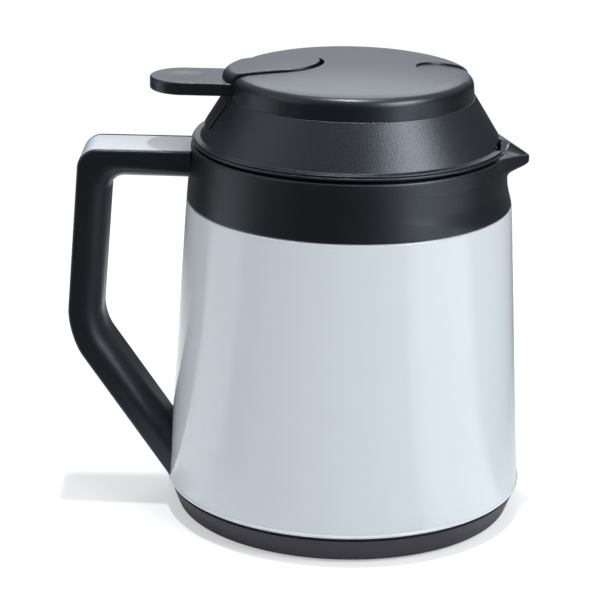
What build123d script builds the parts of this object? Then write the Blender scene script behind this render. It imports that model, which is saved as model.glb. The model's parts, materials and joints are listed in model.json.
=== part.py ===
from build123d import *

import math
import os

# Thermal carafe with a thumb-lever lid. Millimetres, +Z up. The origin is the centre of the foot
# on the surface it stands on, the handle is at -X and the spout at +X.

# ---------------------------------------------------------------- vessel
shell_foot_radius = 73.0
shell_top_radius = 65.8
shell_height = 119.0
steel = 0.8
shoulder_width = 15.3          # from the top of the shell in to the bore of the neck
neck_height = 10.8             # steel neck above the shoulder
neck_gap = 2.2                 # vacuum gap inside the neck
vacuum_gap = 5.5
liner_floor_gap = 3.4          # vacuum between the bottom plate and the liner's floor
liner_floor_round = 12.0
liner_shoulder_drop = 12.0     # the liner's shoulder starts this far below the shell's
liner_shoulder_rise = 8.0
bottom_inset = 3.8             # bottom plate above the shell's lower edge
vacuum_seal_radius = 9.0
vacuum_seal_height = 1.4

# ---------------------------------------------------------------- base
base_height = 11.2             # lower edge of the shell above the ground
base_seam = 0.8                # shadow line between the base and the shell
base_inset = 0.7               # side of the base behind the shell's edge
base_side_inset = 3.7          # how much the base narrows to its foot
base_edge_round = 1.5
base_wall = 2.3
base_floor = 2.4
base_spigot_gap = 0.8
base_spigot_height = 3.4
foot_lift = 0.9                # the base clears the ground by this much
foot_ring_inset = 8.1          # middle of the ring from the edge of the base
foot_ring_width = 5.0
foot_ring_depth = 2.2
base_screw_circle = 45.0
base_screw_count = 3
base_boss_height = 5.2
base_boss_radius = 5.0
stud_radius = 3.2
screw_shank = 1.5
screw_head = 3.0
screw_head_height = 1.8
screw_bite = 6.0
screw_gap = 0.3

# ---------------------------------------------------------------- collar and spout
collar_height = 23.3
collar_inset = 1.8             # how much the collar narrows to its rim
collar_wall = 2.4
collar_edge_round = 1.2
throat_inset = 3.4             # from the outside of the rim in to the throat
throat_depth = 4.8             # ledge below the rim
ledge_thickness = 2.5
ledge_overhang = 0.7           # the ledge stays this far clear of the neck's bore
skirt_gap = 0.3                # skirt to the outside of the steel neck
skirt_wall = 2.0
skirt_drop = 14.0
gasket_height = 1.2
retaining_ring_height = 2.0
retaining_ring_width = 1.2
retaining_ring_drop = 9.5
spout_projection = 8.1         # tip of the lip beyond the collar's rim
spout_half_width = 19.0
spout_tip_round = 3.5
spout_lip_drop = 3.3           # the lip's top below the rim
spout_lip_height = 2.8
spout_root_drop = 14.0         # where the underside runs into the collar
spout_root_depth = 9.0         # how far the spout's tools start inside the throat
spout_lip_round = 0.8
spout_chin_round = 2.0
spout_neck_round = 5.0
spout_neck_drop = 3.4          # bend of the underside below the chin
spout_neck_reach = 1.2         # bend of the underside outside the collar
spout_tip_wall = 1.4
trough_depth = 4.7
trough_half_width = 11.0
trough_rise = 0.6
trough_tip_round = 1.5
scoop_depth = 1.4              # hollow of the collar's side under the spout
scoop_offset = 2.15            # axis of the hollow behind the axis of the collar
scoop_drop = 5.6               # upper edge of the hollow below the rim
scoop_overhang = 0.55          # the hollow is this much deeper at its upper edge
scoop_round = 9.0

# ---------------------------------------------------------------- handle
handle_width = 27.5
handle_thickness = 13.5
handle_edge_round = 2.5
arm_drop = 1.9                 # top of the arm below the collar's rim
arm_thickness = 11.8
grip_offset = 44.5             # outer face of the grip beyond the collar's rim, at the top of the arm
grip_lean = 5.5                # how much farther out the grip is at its lower bend
grip_drop = 78.2               # lower bend below the top of the arm
tail_height = 14.0             # where the outer face of the tail meets the shell
tail_root_depth = 8.0          # how far the tail is drawn into the shell before it is cut to it
arm_outer_round = 8.0
arm_inner_round = 5.0
bend_round = 33.0
strip_width = 22.6
strip_thickness = 1.6
strip_drop = 62.0              # the strip's lower end below the top of the arm
strip_gap = 0.05
tenon_width = 18.0
tenon_drop = 11.0              # underside of the tenon below the top of the arm
tenon_thickness = 4.4
tenon_reach = 6.8
tenon_gap = 0.15
tenon_screw_spacing = 11.0
tenon_screw_inset = 2.4
small_shank = 1.2
small_head = 2.2
small_head_height = 1.6
small_bite = 3.0
bracket_height = 28.0
bracket_radius = 4.0
bracket_length = 4.2
bracket_gap = 0.2
bracket_web = 2.0              # handle material under the head of the lower screw

# ---------------------------------------------------------------- lid
lid_gap = 1.1                  # shadow gap between the collar's rim and the lid
lid_flange_overhang = 0.3
lid_flange_thickness = 1.0
brim_inset = 0.6
brim_thickness = 0.9
brim_round = 0.3
cone_brim_width = 3.4
cone_height = 17.5
cone_inset = 10.8              # how much the cone narrows
cone_wall = 2.6
cover_wall = 2.2
cover_height = 8.6
cover_side_inset = 0.6         # how much the cover's side narrows to its edge
cover_edge_round = 3.6
cover_inset = 0.3              # the cone's upper edge stands this far outside the cover
cover_gap = 0.15
cover_spigot_height = 3.0
cover_spigot_wall = 1.8
dome_rise = 4.0
dent_length = 23.5             # finger dent on the spout side, in from the edge of the cover
dent_width = 26.0
dent_depth = 1.2
plug_gap = 0.9                 # plug to the bore of the steel neck
plug_depth = 21.0
plug_wall = 2.2
plug_floor = 2.4
plug_corner_round = 2.0
plug_step_round = 1.0
plug_ledge_gap = 0.3
plug_step_thickness = 2.0
plug_wall_gap = 0.8            # upper wall of the lid to the collar's throat
plug_throat_wall = 2.2
port_half_width = 13.0
flange_cut_half_width = 19.5
cone_lift = 1.3                # the cone's lower edge is raised over the spout
lid_gasket_height = 3.0
lid_gasket_seat = 1.0
lid_gasket_fit = 0.05
lid_gasket_drop = 12.0
lid_gasket_round = 0.2
guide_thickness = 1.6
guide_lip = 0.9
guide_bush_wall = 2.2
guide_bush_drop = 4.0
guide_bush_rise = 5.0
guide_screw_inset = 8.4        # screws from the edge of the guide plate
guide_screw_count = 3
guide_boss_radius = 3.2
guide_boss_height = 9.0
guide_bite = 6.0

# ---------------------------------------------------------------- lever
lever_width = 28.0
lever_thickness = 5.2
lever_gap = 0.4                # play between the lever and the sides of its window
pad_projection = 31.5          # end of the pad beyond the side of the cover
pad_drop = 2.8                 # top of the pad below the edge of the cover
pad_edge_round = 0.8
pad_dish_radius = 9.0
pad_dish_depth = 0.35
knuckle_overhang = 2.6
knuckle_round = 3.6
tongue_length = 36.4
tongue_proud = 0.9
tongue_sink = 1.2
pocket_clearance = 0.4
tip_gap = 0.9                  # gap ahead of the tongue's tip
pivot_inset = 7.2
pivot_height = 1.7             # pivot above the top of the cone
root_depth = 3.5
root_length = 9.5
root_setback = 4.5
press_drop = 1.2               # sill under the lever below the top of the cone
root_under_gap = 1.5           # room under the lever's root as it turns
root_front_gap = 0.8           # room ahead of the root as it turns
lug_thickness = 2.8
lug_reach = 3.5
lug_rise = 2.6
lug_depth = 9.0
pin_radius = 1.5
pin_fit = 0.05
flank_pad_raise = 1.2
flank_pad_drop = 12.7
flank_pad_round = 0.3
fork_gap = 0.4
fork_prong = 3.6
fork_height = 4.4
fork_drop = 2.5                # link pin below the pivot

# ---------------------------------------------------------------- valve
seat_bore = 11.0
seat_wall = 1.8
seat_height = 1.2
seal_gap = 0.05
seal_thickness = 1.4
seal_overlap = 0.8
disc_overhang = 0.6
disc_thickness = 2.2
stem_radius = 3.0
stem_fit = 0.1
stem_tail_radius = 2.0
stem_clip_radius = 4.2
stem_clip_height = 1.3
stem_head_width = 7.4
stem_head_length = 8.0
stem_head_rise = 3.1
stem_head_drop = 4.0
stem_slot_length = 4.6
spring_radius = 5.2
spring_wire = 0.5
spring_turns = 6

# ---------------------------------------------------------------- worked out from the sizes above
base_top_radius = shell_foot_radius - base_inset
base_foot_radius = base_top_radius - base_side_inset
foot_ring_radius = base_foot_radius - foot_ring_inset
shell_foot_z = base_height
shell_top_z = shell_foot_z + shell_height
neck_radius = shell_top_radius - shoulder_width
neck_outer_radius = neck_radius + neck_gap + 2 * steel
neck_top_z = shell_top_z + neck_height
bottom_z = shell_foot_z + bottom_inset
liner_floor_z = bottom_z + steel + liner_floor_gap + steel
collar_top_z = shell_top_z + collar_height
collar_top_radius = shell_top_radius - collar_inset
spout_reach = collar_top_radius + spout_projection
grip_reach = collar_top_radius + grip_offset
throat_radius = collar_top_radius - throat_inset
ledge_z = collar_top_z - throat_depth
skirt_inner_radius = neck_outer_radius + skirt_gap
skirt_outer_radius = skirt_inner_radius + skirt_wall
gasket_top_z = neck_top_z + gasket_height
arm_top_z = collar_top_z - arm_drop
flange_z = collar_top_z + lid_gap
flange_radius = collar_top_radius + lid_flange_overhang
brim_z = flange_z + lid_flange_thickness
brim_radius = flange_radius - brim_inset
cone_z = brim_z + brim_thickness
cone_foot_radius = brim_radius - cone_brim_width
cone_top_z = cone_z + cone_height
cone_top_radius = cone_foot_radius - cone_inset
cover_radius = cone_top_radius - cover_inset
cover_bore = cover_radius - cover_wall
cover_edge_z = cone_top_z + cover_height
dome_top_z = cover_edge_z + dome_rise
dome_radius = (cover_radius**2 + dome_rise**2) / (2 * dome_rise)
plug_radius = neck_radius - plug_gap
plug_step_z = ledge_z + plug_ledge_gap
plug_floor_z = plug_step_z - plug_depth
upper_wall_radius = throat_radius - plug_wall_gap
upper_bore = upper_wall_radius - plug_throat_wall
seat_top_z = plug_floor_z + plug_floor + seat_height
pad_top_z = cover_edge_z - pad_drop
pad_under_z = pad_top_z - lever_thickness
pad_reach = cover_radius + pad_projection
pivot_x = -(cover_radius - pivot_inset)
pivot_z = cone_top_z + pivot_height
link_z = pivot_z - fork_drop
seal_z = seat_top_z + seal_gap
disc_z = seal_z + seal_thickness
disc_radius = seat_bore + seat_wall + disc_overhang
guide_z = brim_z
tip_x = -(cover_radius - tongue_length)
guide_radius = upper_wall_radius - guide_lip
guide_top_z = guide_z + guide_thickness
guide_screw_circle = guide_radius - guide_screw_inset
spigot_radius = cover_bore - cover_gap
window_half = lever_width / 2 + lever_gap
root_end_x = pivot_x - root_setback + root_length
far = 200.0                    # longer than the whole object, for cutting tools
overcut = 1.0                  # how far a tool runs past the face it meets
tiny = 1e-6


def shell_radius(z):
    """Outer radius of the shell at a height."""
    return shell_foot_radius + (shell_top_radius - shell_foot_radius) * (z - shell_foot_z) / shell_height


def cone_radius(z):
    """Outer radius of the lid's cone at a height."""
    return cone_foot_radius - cone_inset * (z - cone_z) / cone_height


def collar_radius(z):
    """Outer radius of the collar at a height."""
    return shell_top_radius + (collar_top_radius - shell_top_radius) * (z - shell_top_z) / collar_height


# ---------------------------------------------------------------- drawing helpers
def upright(a, b):
    """Point of the XZ plane."""
    return Vector(a, 0, b)


def level(a, b):
    """Point of the ground plane."""
    return Vector(a, b, 0)


def closed_face(corners, place):
    """Flat face with corners (a, b), or (a, b, radius) where the corner is rounded."""
    spans = []
    for index, corner in enumerate(corners):
        here = Vector(corner[0], corner[1])
        radius = corner[2] if len(corner) > 2 else 0
        if radius == 0:
            spans.append((here, here, here))
            continue
        previous = corners[index - 1]
        following = corners[(index + 1) % len(corners)]
        back = (Vector(previous[0], previous[1]) - here).normalized()
        ahead = (Vector(following[0], following[1]) - here).normalized()
        half_angle = math.radians(back.get_angle(ahead)) / 2
        reach = radius / math.tan(half_angle)
        bulge = radius / math.sin(half_angle) - radius
        middle = here + (back + ahead).normalized() * bulge
        spans.append((here + back * reach, middle, here + ahead * reach))
    edges = []
    for index, (start, middle, end) in enumerate(spans):
        if (end - start).length > tiny:
            points = [place(point.X, point.Y) for point in (start, middle, end)]
            edges.append(ThreePointArc(*points))
        following = spans[(index + 1) % len(spans)][0]
        if (following - end).length > tiny:
            edges.append(Line(place(end.X, end.Y), place(following.X, following.Y)))
    return make_face(edges)


def turned(*corners):
    """Solid of revolution about Z from corners (radius, z)."""
    return revolve(closed_face(corners, upright), Axis.Z)


def sawn(width, *corners):
    """Side view, corners (x, z), given a width across Y."""
    return extrude(closed_face(corners, upright), amount=width / 2, dir=(0, 1, 0), both=True)


def raised(bottom, top, *corners):
    """Plan view, corners (x, y), raised from one height to another."""
    return Pos(0, 0, bottom) * extrude(closed_face(corners, level), amount=top - bottom, dir=(0, 0, 1))


def ring(inner, outer, bottom, top):
    """Plain ring about Z."""
    return turned((inner, bottom), (outer, bottom), (outer, top), (inner, top))


def disc(radius, bottom, top, x=0.0, y=0.0):
    """Upright round bar."""
    return Pos(x, y, bottom) * extrude(Circle(radius), amount=top - bottom)


def bar_along_x(radius, x_start, x_end, y, z):
    """Round bar lying along X."""
    return Pos(x_start, y, z) * Rot(0, 90, 0) * extrude(Circle(radius), amount=x_end - x_start)


def bar_along_y(radius, half_length, x, z):
    """Round bar lying along Y, centred on the middle plane."""
    return Pos(x, 0, z) * Rot(90, 0, 0) * extrude(Circle(radius), amount=half_length, both=True)


def block(x_low, x_high, y_low, y_high, z_low, z_high):
    """Rectangular block between two corners."""
    size = (x_high - x_low, y_high - y_low, z_high - z_low)
    centre = ((x_low + x_high) / 2, (y_low + y_high) / 2, (z_low + z_high) / 2)
    return Pos(*centre) * Box(*size)


def on_circle(radius, count, first_angle=0.0):
    """Evenly spaced (x, y) places on a circle."""
    angles = [math.radians(first_angle + 360 * k / count) for k in range(count)]
    return [(radius * math.cos(angle), radius * math.sin(angle)) for angle in angles]


def dome(offset):
    """Everything under the lid's domed top, moved out by an offset."""
    return Pos(0, 0, dome_top_z - dome_radius) * Sphere(dome_radius + offset)


def save(node, piece):
    """One STEP file per sub-part."""
    export_step(piece, f"parts/{node}.step")


# ---------------------------------------------------------------- vessel
def outer_shell():
    """Painted steel outer wall, with a flat shoulder and a neck."""
    bore = neck_outer_radius - steel
    rim_z = neck_top_z - steel
    return turned(
        (shell_foot_radius, shell_foot_z),
        (shell_top_radius, shell_top_z),
        (neck_outer_radius, shell_top_z),
        (neck_outer_radius, rim_z),
        (bore, rim_z),
        (bore, shell_top_z - steel),
        (shell_radius(shell_top_z - steel) - steel, shell_top_z - steel),
        (shell_foot_radius - steel, shell_foot_z),
    )


def inner_liner():
    """Bare steel inner wall; its rolled rim lies on the neck of the shell."""
    inset = 2 * steel + vacuum_gap
    shoulder_z = shell_top_z - liner_shoulder_drop
    neck_z = shoulder_z + liner_shoulder_rise
    wide = shell_radius(shoulder_z) - inset
    low = shell_radius(liner_floor_z) - inset
    return turned(
        (0, liner_floor_z),
        (low, liner_floor_z, liner_floor_round),
        (wide, shoulder_z),
        (neck_radius, neck_z),
        (neck_radius, neck_top_z),
        (neck_outer_radius, neck_top_z),
        (neck_outer_radius, neck_top_z - steel),
        (neck_radius + steel, neck_top_z - steel),
        (neck_radius + steel, neck_z + steel / 2),
        (wide + steel, shoulder_z + steel / 2),
        (low + steel, liner_floor_z - steel, liner_floor_round + steel),
        (0, liner_floor_z - steel),
    )


def vessel_bottom():
    """Bottom plate that closes the vacuum space."""
    low = shell_radius(bottom_z) - steel
    high = shell_radius(bottom_z + steel) - steel
    return turned((0, bottom_z), (low, bottom_z), (high, bottom_z + steel), (0, bottom_z + steel))


def vacuum_seal():
    """Cap over the hole the vacuum was drawn through."""
    return disc(vacuum_seal_radius, bottom_z - vacuum_seal_height, bottom_z)


def base_studs():
    """Studs under the bottom plate that take the base screws."""
    studs = []
    for x, y in on_circle(base_screw_circle, base_screw_count, 90):
        stud = disc(stud_radius, base_boss_height, bottom_z, x, y)
        studs.append(stud - disc(screw_shank, base_boss_height, base_boss_height + screw_bite, x, y))
    return Compound(children=studs)


def base_cover():
    """Plastic base with a tapered side, a spigot inside the shell and three screw bosses."""
    spigot = shell_foot_radius - steel - base_spigot_gap
    top = base_height - base_seam
    floor_z = foot_lift + base_floor
    cover = turned(
        (0, foot_lift),
        (base_foot_radius, foot_lift, base_edge_round),
        (base_top_radius, top),
        (spigot, top),
        (spigot, base_height + base_spigot_height),
        (spigot - base_wall, base_height + base_spigot_height),
        (spigot - base_wall, top),
        (base_foot_radius - base_wall, floor_z),
        (0, floor_z),
    )
    groove_half = foot_ring_width / 2
    cover -= ring(foot_ring_radius - groove_half, foot_ring_radius + groove_half, 0, foot_ring_depth)
    for x, y in on_circle(base_screw_circle, base_screw_count, 90):
        cover += disc(base_boss_radius, foot_lift, base_boss_height, x, y)
        cover -= disc(screw_head + screw_gap, 0, foot_lift + screw_head_height + screw_gap, x, y)
        cover -= disc(screw_shank + screw_gap, 0, far, x, y)
    return cover


def base_screws():
    """Screws from below through the base into the studs."""
    head_z = foot_lift + screw_gap
    seat_z = head_z + screw_head_height
    screws = []
    for x, y in on_circle(base_screw_circle, base_screw_count, 90):
        head = disc(screw_head, head_z, seat_z, x, y)
        screws.append(head + disc(screw_shank, seat_z, base_boss_height + screw_bite, x, y))
    return Compound(children=screws)


def foot_ring():
    """Rubber ring that the carafe stands on."""
    half = foot_ring_width / 2
    return ring(foot_ring_radius - half, foot_ring_radius + half, 0, foot_ring_depth)


# ---------------------------------------------------------------- collar
def beak_shape():
    """Half angle of the beak in plan, and the distance of its sharp apex from the axis."""
    corner_x = math.sqrt(collar_top_radius**2 - spout_half_width**2)
    half_angle = math.atan2(spout_half_width, spout_reach - corner_x)
    return half_angle, spout_reach + spout_tip_round * (1 / math.sin(half_angle) - 1)


def spout_outside():
    """Beak seen from above and from the side, before its trough."""
    root_x = throat_radius - spout_root_depth
    half_angle, apex_x = beak_shape()
    corner_x = apex_x - spout_half_width / math.tan(half_angle)
    lip_z = collar_top_z - spout_lip_drop
    chin_z = lip_z - spout_lip_height
    root_z = collar_top_z - spout_root_drop
    plan = raised(
        root_z,
        collar_top_z,
        (root_x, -spout_half_width),
        (corner_x, -spout_half_width),
        (apex_x, 0, spout_tip_round),
        (corner_x, spout_half_width),
        (root_x, spout_half_width),
    )
    side = sawn(
        2 * spout_half_width,
        (root_x, collar_top_z),
        (throat_radius, collar_top_z),
        (spout_reach, lip_z, spout_lip_round),
        (spout_reach, chin_z, spout_chin_round),
        (collar_radius(root_z) + spout_neck_reach, chin_z - spout_neck_drop, spout_neck_round),
        (collar_radius(root_z) - scoop_depth, root_z),
        (root_x, root_z),
    )
    return plan & side


def spout_trough():
    """Channel from the throat to the lip."""
    root_x = throat_radius - spout_root_depth
    half_angle, apex_x = beak_shape()
    inner_apex_x = apex_x - spout_tip_wall / math.sin(half_angle)
    corner_x = inner_apex_x - trough_half_width / math.tan(half_angle)
    inner_reach = spout_reach - spout_tip_wall
    floor_z = collar_top_z - trough_depth
    plan = raised(
        floor_z,
        collar_top_z + overcut,
        (root_x, -trough_half_width),
        (corner_x, -trough_half_width, trough_tip_round),
        (inner_apex_x, 0, trough_tip_round),
        (corner_x, trough_half_width, trough_tip_round),
        (root_x, trough_half_width),
    )
    side = sawn(
        far,
        (root_x, floor_z),
        (throat_radius, floor_z),
        (inner_reach, floor_z + trough_rise),
        (inner_reach, collar_top_z + overcut),
        (root_x, collar_top_z + overcut),
    )
    return plan & side


def scoop():
    """Hollow round the collar's side under the spout, deepest in the middle plane."""
    waist_z = collar_top_z - spout_root_drop
    waist = collar_radius(waist_z) - scoop_depth + scoop_offset
    top_z = collar_top_z - scoop_drop
    hollow = turned(
        (shell_top_radius + scoop_offset, shell_top_z),
        (waist, waist_z, scoop_round),
        (waist - scoop_overhang, top_z),
        (far, top_z),
        (far, shell_top_z),
    )
    return Pos(-scoop_offset, 0, 0) * hollow


def collar():
    """Plastic collar over the steel neck, with the spout and a socket for the handle."""
    ledge_bore = neck_radius + ledge_overhang
    under_z = ledge_z - ledge_thickness
    body = turned(
        (shell_top_radius, shell_top_z),
        (collar_top_radius, collar_top_z, collar_edge_round),
        (throat_radius, collar_top_z, collar_edge_round / 2),
        (throat_radius, ledge_z),
        (ledge_bore, ledge_z),
        (ledge_bore, gasket_top_z),
        (skirt_inner_radius, gasket_top_z),
        (skirt_inner_radius, ledge_z - skirt_drop),
        (skirt_outer_radius, ledge_z - skirt_drop),
        (skirt_outer_radius, under_z),
        (collar_radius(under_z) - collar_wall, under_z),
        (shell_top_radius - collar_wall, shell_top_z),
    )
    body -= scoop()
    beak = spout_outside() - disc(collar_radius(shell_top_z) - collar_wall, 0, under_z)
    body += beak - disc(throat_radius, under_z, far)
    body -= spout_trough()
    tenon_top = arm_top_z - tenon_drop + tenon_thickness
    boss_x = -(skirt_outer_radius - skirt_wall / 2)
    body += block(
        -(collar_radius(under_z) - collar_wall / 2), boss_x, -tenon_width / 2, tenon_width / 2, tenon_top, under_z
    )
    body -= tenon(tenon_gap)
    for x, y in tenon_screw_places():
        body -= disc(small_shank, tenon_top - overcut, tenon_top + small_bite, x, y)
    groove = retaining_ring_width + skirt_gap / 2
    ring_z = gasket_top_z - retaining_ring_drop
    body -= ring(0, neck_outer_radius + groove, ring_z, ring_z + retaining_ring_height)
    return body


def retaining_ring():
    """Spring ring that holds the collar's skirt on the steel neck."""
    ring_z = gasket_top_z - retaining_ring_drop
    outer = neck_outer_radius + retaining_ring_width
    return ring(neck_outer_radius, outer, ring_z, ring_z + retaining_ring_height)


def neck_gasket():
    """Silicone ring between the steel rim and the collar."""
    return ring(neck_radius + ledge_overhang, neck_outer_radius, neck_top_z, gasket_top_z)


# ---------------------------------------------------------------- handle
def crossing(start, direction, other_start, other_direction):
    """Where two lines of the side view meet."""
    span = other_start - start
    across = direction.X * other_direction.Y - direction.Y * other_direction.X
    return start + direction * ((span.X * other_direction.Y - span.Y * other_direction.X) / across)


def handle_corners(inset):
    """Corners of the grip and the tail: the outer edge, moved inwards by an inset."""
    top = Vector(-grip_reach, arm_top_z)
    bend = Vector(-grip_reach - grip_lean, arm_top_z - grip_drop)
    tail = Vector(-shell_radius(tail_height), tail_height)
    grip_way = (bend - top).normalized()
    tail_way = (tail - bend).normalized()
    grip_start = top + Vector(-grip_way.Y, grip_way.X) * inset
    tail_start = bend + Vector(-tail_way.Y, tail_way.X) * inset
    inner_bend = crossing(grip_start, grip_way, tail_start, tail_way)
    return grip_start, grip_way, inner_bend, tail_start, tail_way


def at_height(start, direction, z):
    """Point of a line of the side view at a height."""
    return crossing(start, direction, Vector(0, z), Vector(1, 0))


def collar_core():
    """Everything within the outside of the collar."""
    return turned(
        (0, shell_top_z),
        (shell_top_radius, shell_top_z),
        (collar_top_radius, collar_top_z),
        (0, collar_top_z),
    )


def shell_core():
    """Everything within the outside of the shell."""
    return turned(
        (0, shell_foot_z),
        (shell_foot_radius, shell_foot_z),
        (shell_top_radius, shell_top_z),
        (0, shell_top_z),
    )


def tenon(play):
    """Tongue of the handle inside the collar, grown by some play."""
    half = tenon_width / 2 + play
    bottom = arm_top_z - tenon_drop
    outer_x = -collar_radius(arm_top_z) - overcut
    inner_x = -(collar_radius(arm_top_z) - tenon_reach) + play
    return block(outer_x, inner_x, -half, half, bottom - play, bottom + tenon_thickness)


def tenon_screw_places():
    """Places (x, y) of the two upper handle screws."""
    x = -(collar_radius(arm_top_z) - tenon_reach) - tenon_screw_inset
    return [(x, -tenon_screw_spacing / 2), (x, tenon_screw_spacing / 2)]


def strip_body(play):
    """Inlaid strip over the arm, round its corner and down the grip."""
    outer = handle_corners(0)
    inner = handle_corners(strip_thickness + play)
    lower_z = arm_top_z - strip_drop - play
    end = at_height(outer[0], outer[1], lower_z)
    inner_end = at_height(inner[0], inner[1], lower_z)
    inner_top_z = arm_top_z - strip_thickness - play
    inner_corner = at_height(inner[0], inner[1], inner_top_z)
    return sawn(
        strip_width + 2 * play,
        (-throat_radius, arm_top_z),
        (-grip_reach, arm_top_z, arm_outer_round),
        (end.X, end.Y),
        (inner_end.X, inner_end.Y),
        (inner_corner.X, inner_corner.Y, arm_outer_round - strip_thickness - play),
        (-throat_radius, inner_top_z),
    )


def handle_core():
    """Handle in one moulding: arm, grip and tail, with a tenon in the collar."""
    outer = handle_corners(0)
    inner = handle_corners(handle_thickness)
    tail_end_x = -shell_radius(tail_height) + tail_root_depth
    inner_tail = crossing(inner[3], inner[4], Vector(tail_end_x, 0), Vector(0, 1))
    arm_under_z = arm_top_z - arm_thickness
    inner_corner = at_height(inner[0], inner[1], arm_under_z)
    arm_end_x = -collar_top_radius + collar_wall
    core = sawn(
        handle_width,
        (arm_end_x, arm_top_z),
        (-grip_reach, arm_top_z, arm_outer_round),
        (outer[2].X, outer[2].Y, bend_round),
        (-shell_radius(tail_height), tail_height),
        (tail_end_x, tail_height),
        (inner_tail.X, inner_tail.Y),
        (inner[2].X, inner[2].Y, bend_round - handle_thickness),
        (inner_corner.X, inner_corner.Y, arm_inner_round),
        (arm_end_x, arm_under_z),
    )
    core = fillet(core.faces().filter_by(Axis.Y).edges(), handle_edge_round)
    core -= collar_core()
    core -= shell_core()
    core -= strip_body(strip_gap)
    core += tenon(0)
    seat_z = arm_top_z - tenon_drop
    for x, y in tenon_screw_places():
        core -= disc(small_shank, seat_z - overcut, far, x, y)
    stud_end_x = -shell_radius(bracket_height) - bracket_length
    seat_x = stud_end_x - bracket_gap - bracket_web
    core -= bar_along_x(bracket_radius + bracket_gap, stud_end_x - bracket_gap, 0, 0, bracket_height)
    core -= bar_along_x(screw_shank + screw_gap, seat_x - overcut, 0, 0, bracket_height)
    core -= bar_along_x(screw_head + screw_gap, -far, seat_x, 0, bracket_height)
    return core


def handle_strip():
    """White inlay of the handle."""
    return strip_body(0) - collar_core()


def handle_upper_screws():
    """Two screws, from below, that hold the tenon under the collar's ledge."""
    seat_z = arm_top_z - tenon_drop
    tip_z = seat_z + tenon_thickness + small_bite
    screws = []
    for x, y in tenon_screw_places():
        head = disc(small_head, seat_z - small_head_height, seat_z, x, y)
        screws.append(head + disc(small_shank, seat_z, tip_z, x, y))
    return Compound(children=screws)


def handle_bracket():
    """Threaded stud welded to the shell inside the tail of the handle."""
    end_x = -shell_radius(bracket_height) - bracket_length
    stud = bar_along_x(bracket_radius, end_x, -shell_top_radius, 0, bracket_height) - shell_core()
    return stud - bar_along_x(screw_shank, end_x - overcut, end_x + small_bite, 0, bracket_height)


def handle_lower_screw():
    """Screw through the tail into the stud."""
    end_x = -shell_radius(bracket_height) - bracket_length
    seat_x = end_x - bracket_gap - bracket_web
    head = bar_along_x(screw_head, seat_x - screw_head_height, seat_x, 0, bracket_height)
    return head + bar_along_x(screw_shank, seat_x, end_x + small_bite, 0, bracket_height)


# ---------------------------------------------------------------- lid
def spout_side_cut(radius, bottom, top):
    """What is taken off outside a radius over the spout."""
    half_angle = math.asin(flange_cut_half_width / flange_radius)
    spread = far * math.tan(half_angle)
    cut = raised(bottom, top, (0, 0), (far, -spread), (far, spread))
    return cut - disc(radius, bottom - overcut, top + overcut)


def lid_base():
    """Lower half of the lid: plug with the valve seat, upper wall with the pouring port, flange."""
    bore = plug_radius - plug_wall
    floor_top = plug_floor_z + plug_floor
    step_top = plug_step_z + plug_step_thickness
    body = turned(
        (seat_bore, plug_floor_z),
        (plug_radius, plug_floor_z, plug_corner_round),
        (plug_radius, plug_step_z),
        (upper_wall_radius, plug_step_z, plug_step_round),
        (upper_wall_radius, flange_z),
        (flange_radius, flange_z, brim_round),
        (flange_radius, brim_z),
        (upper_bore, brim_z),
        (upper_bore, step_top),
        (bore, step_top),
        (bore, floor_top, plug_corner_round),
        (seat_bore + seat_wall, floor_top),
        (seat_bore + seat_wall, seat_top_z),
        (seat_bore, seat_top_z),
    )
    gasket_z = plug_step_z - lid_gasket_drop
    body -= ring(plug_radius - lid_gasket_seat, far, gasket_z, gasket_z + lid_gasket_height)
    body -= block(plug_radius, far, -port_half_width, port_half_width, step_top, far)
    return body - spout_side_cut(upper_wall_radius, flange_z - overcut, far)


def lid_gasket():
    """Silicone lip that seals the plug in the steel neck."""
    inner = plug_radius - lid_gasket_seat
    bottom = plug_step_z - lid_gasket_drop
    third = lid_gasket_height / 3
    lip = neck_radius - lid_gasket_fit
    return turned(
        (inner, bottom),
        (plug_radius, bottom),
        (lip, bottom + third, lid_gasket_round),
        (lip, bottom + 2 * third, lid_gasket_round),
        (plug_radius, bottom + 3 * third),
        (inner, bottom + 3 * third),
    )


def stem_guide():
    """Plate that closes the wet part of the lid and guides the valve stem."""
    bush = stem_radius + stem_fit + guide_bush_wall
    plate = disc(guide_radius, guide_z, guide_top_z)
    plate += disc(bush, guide_z - guide_bush_drop, guide_top_z + guide_bush_rise)
    plate -= disc(stem_radius + stem_fit, 0, far)
    for x, y in on_circle(guide_screw_circle, guide_screw_count):
        plate -= disc(small_shank, 0, far, x, y)
    return plate


def guide_screws():
    """Screws that clamp the guide plate to the cone."""
    screws = []
    for x, y in on_circle(guide_screw_circle, guide_screw_count):
        head = disc(small_head, guide_z - small_head_height, guide_z, x, y)
        screws.append(head + disc(small_shank, guide_z, guide_top_z + guide_bite, x, y))
    return Compound(children=screws)


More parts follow.
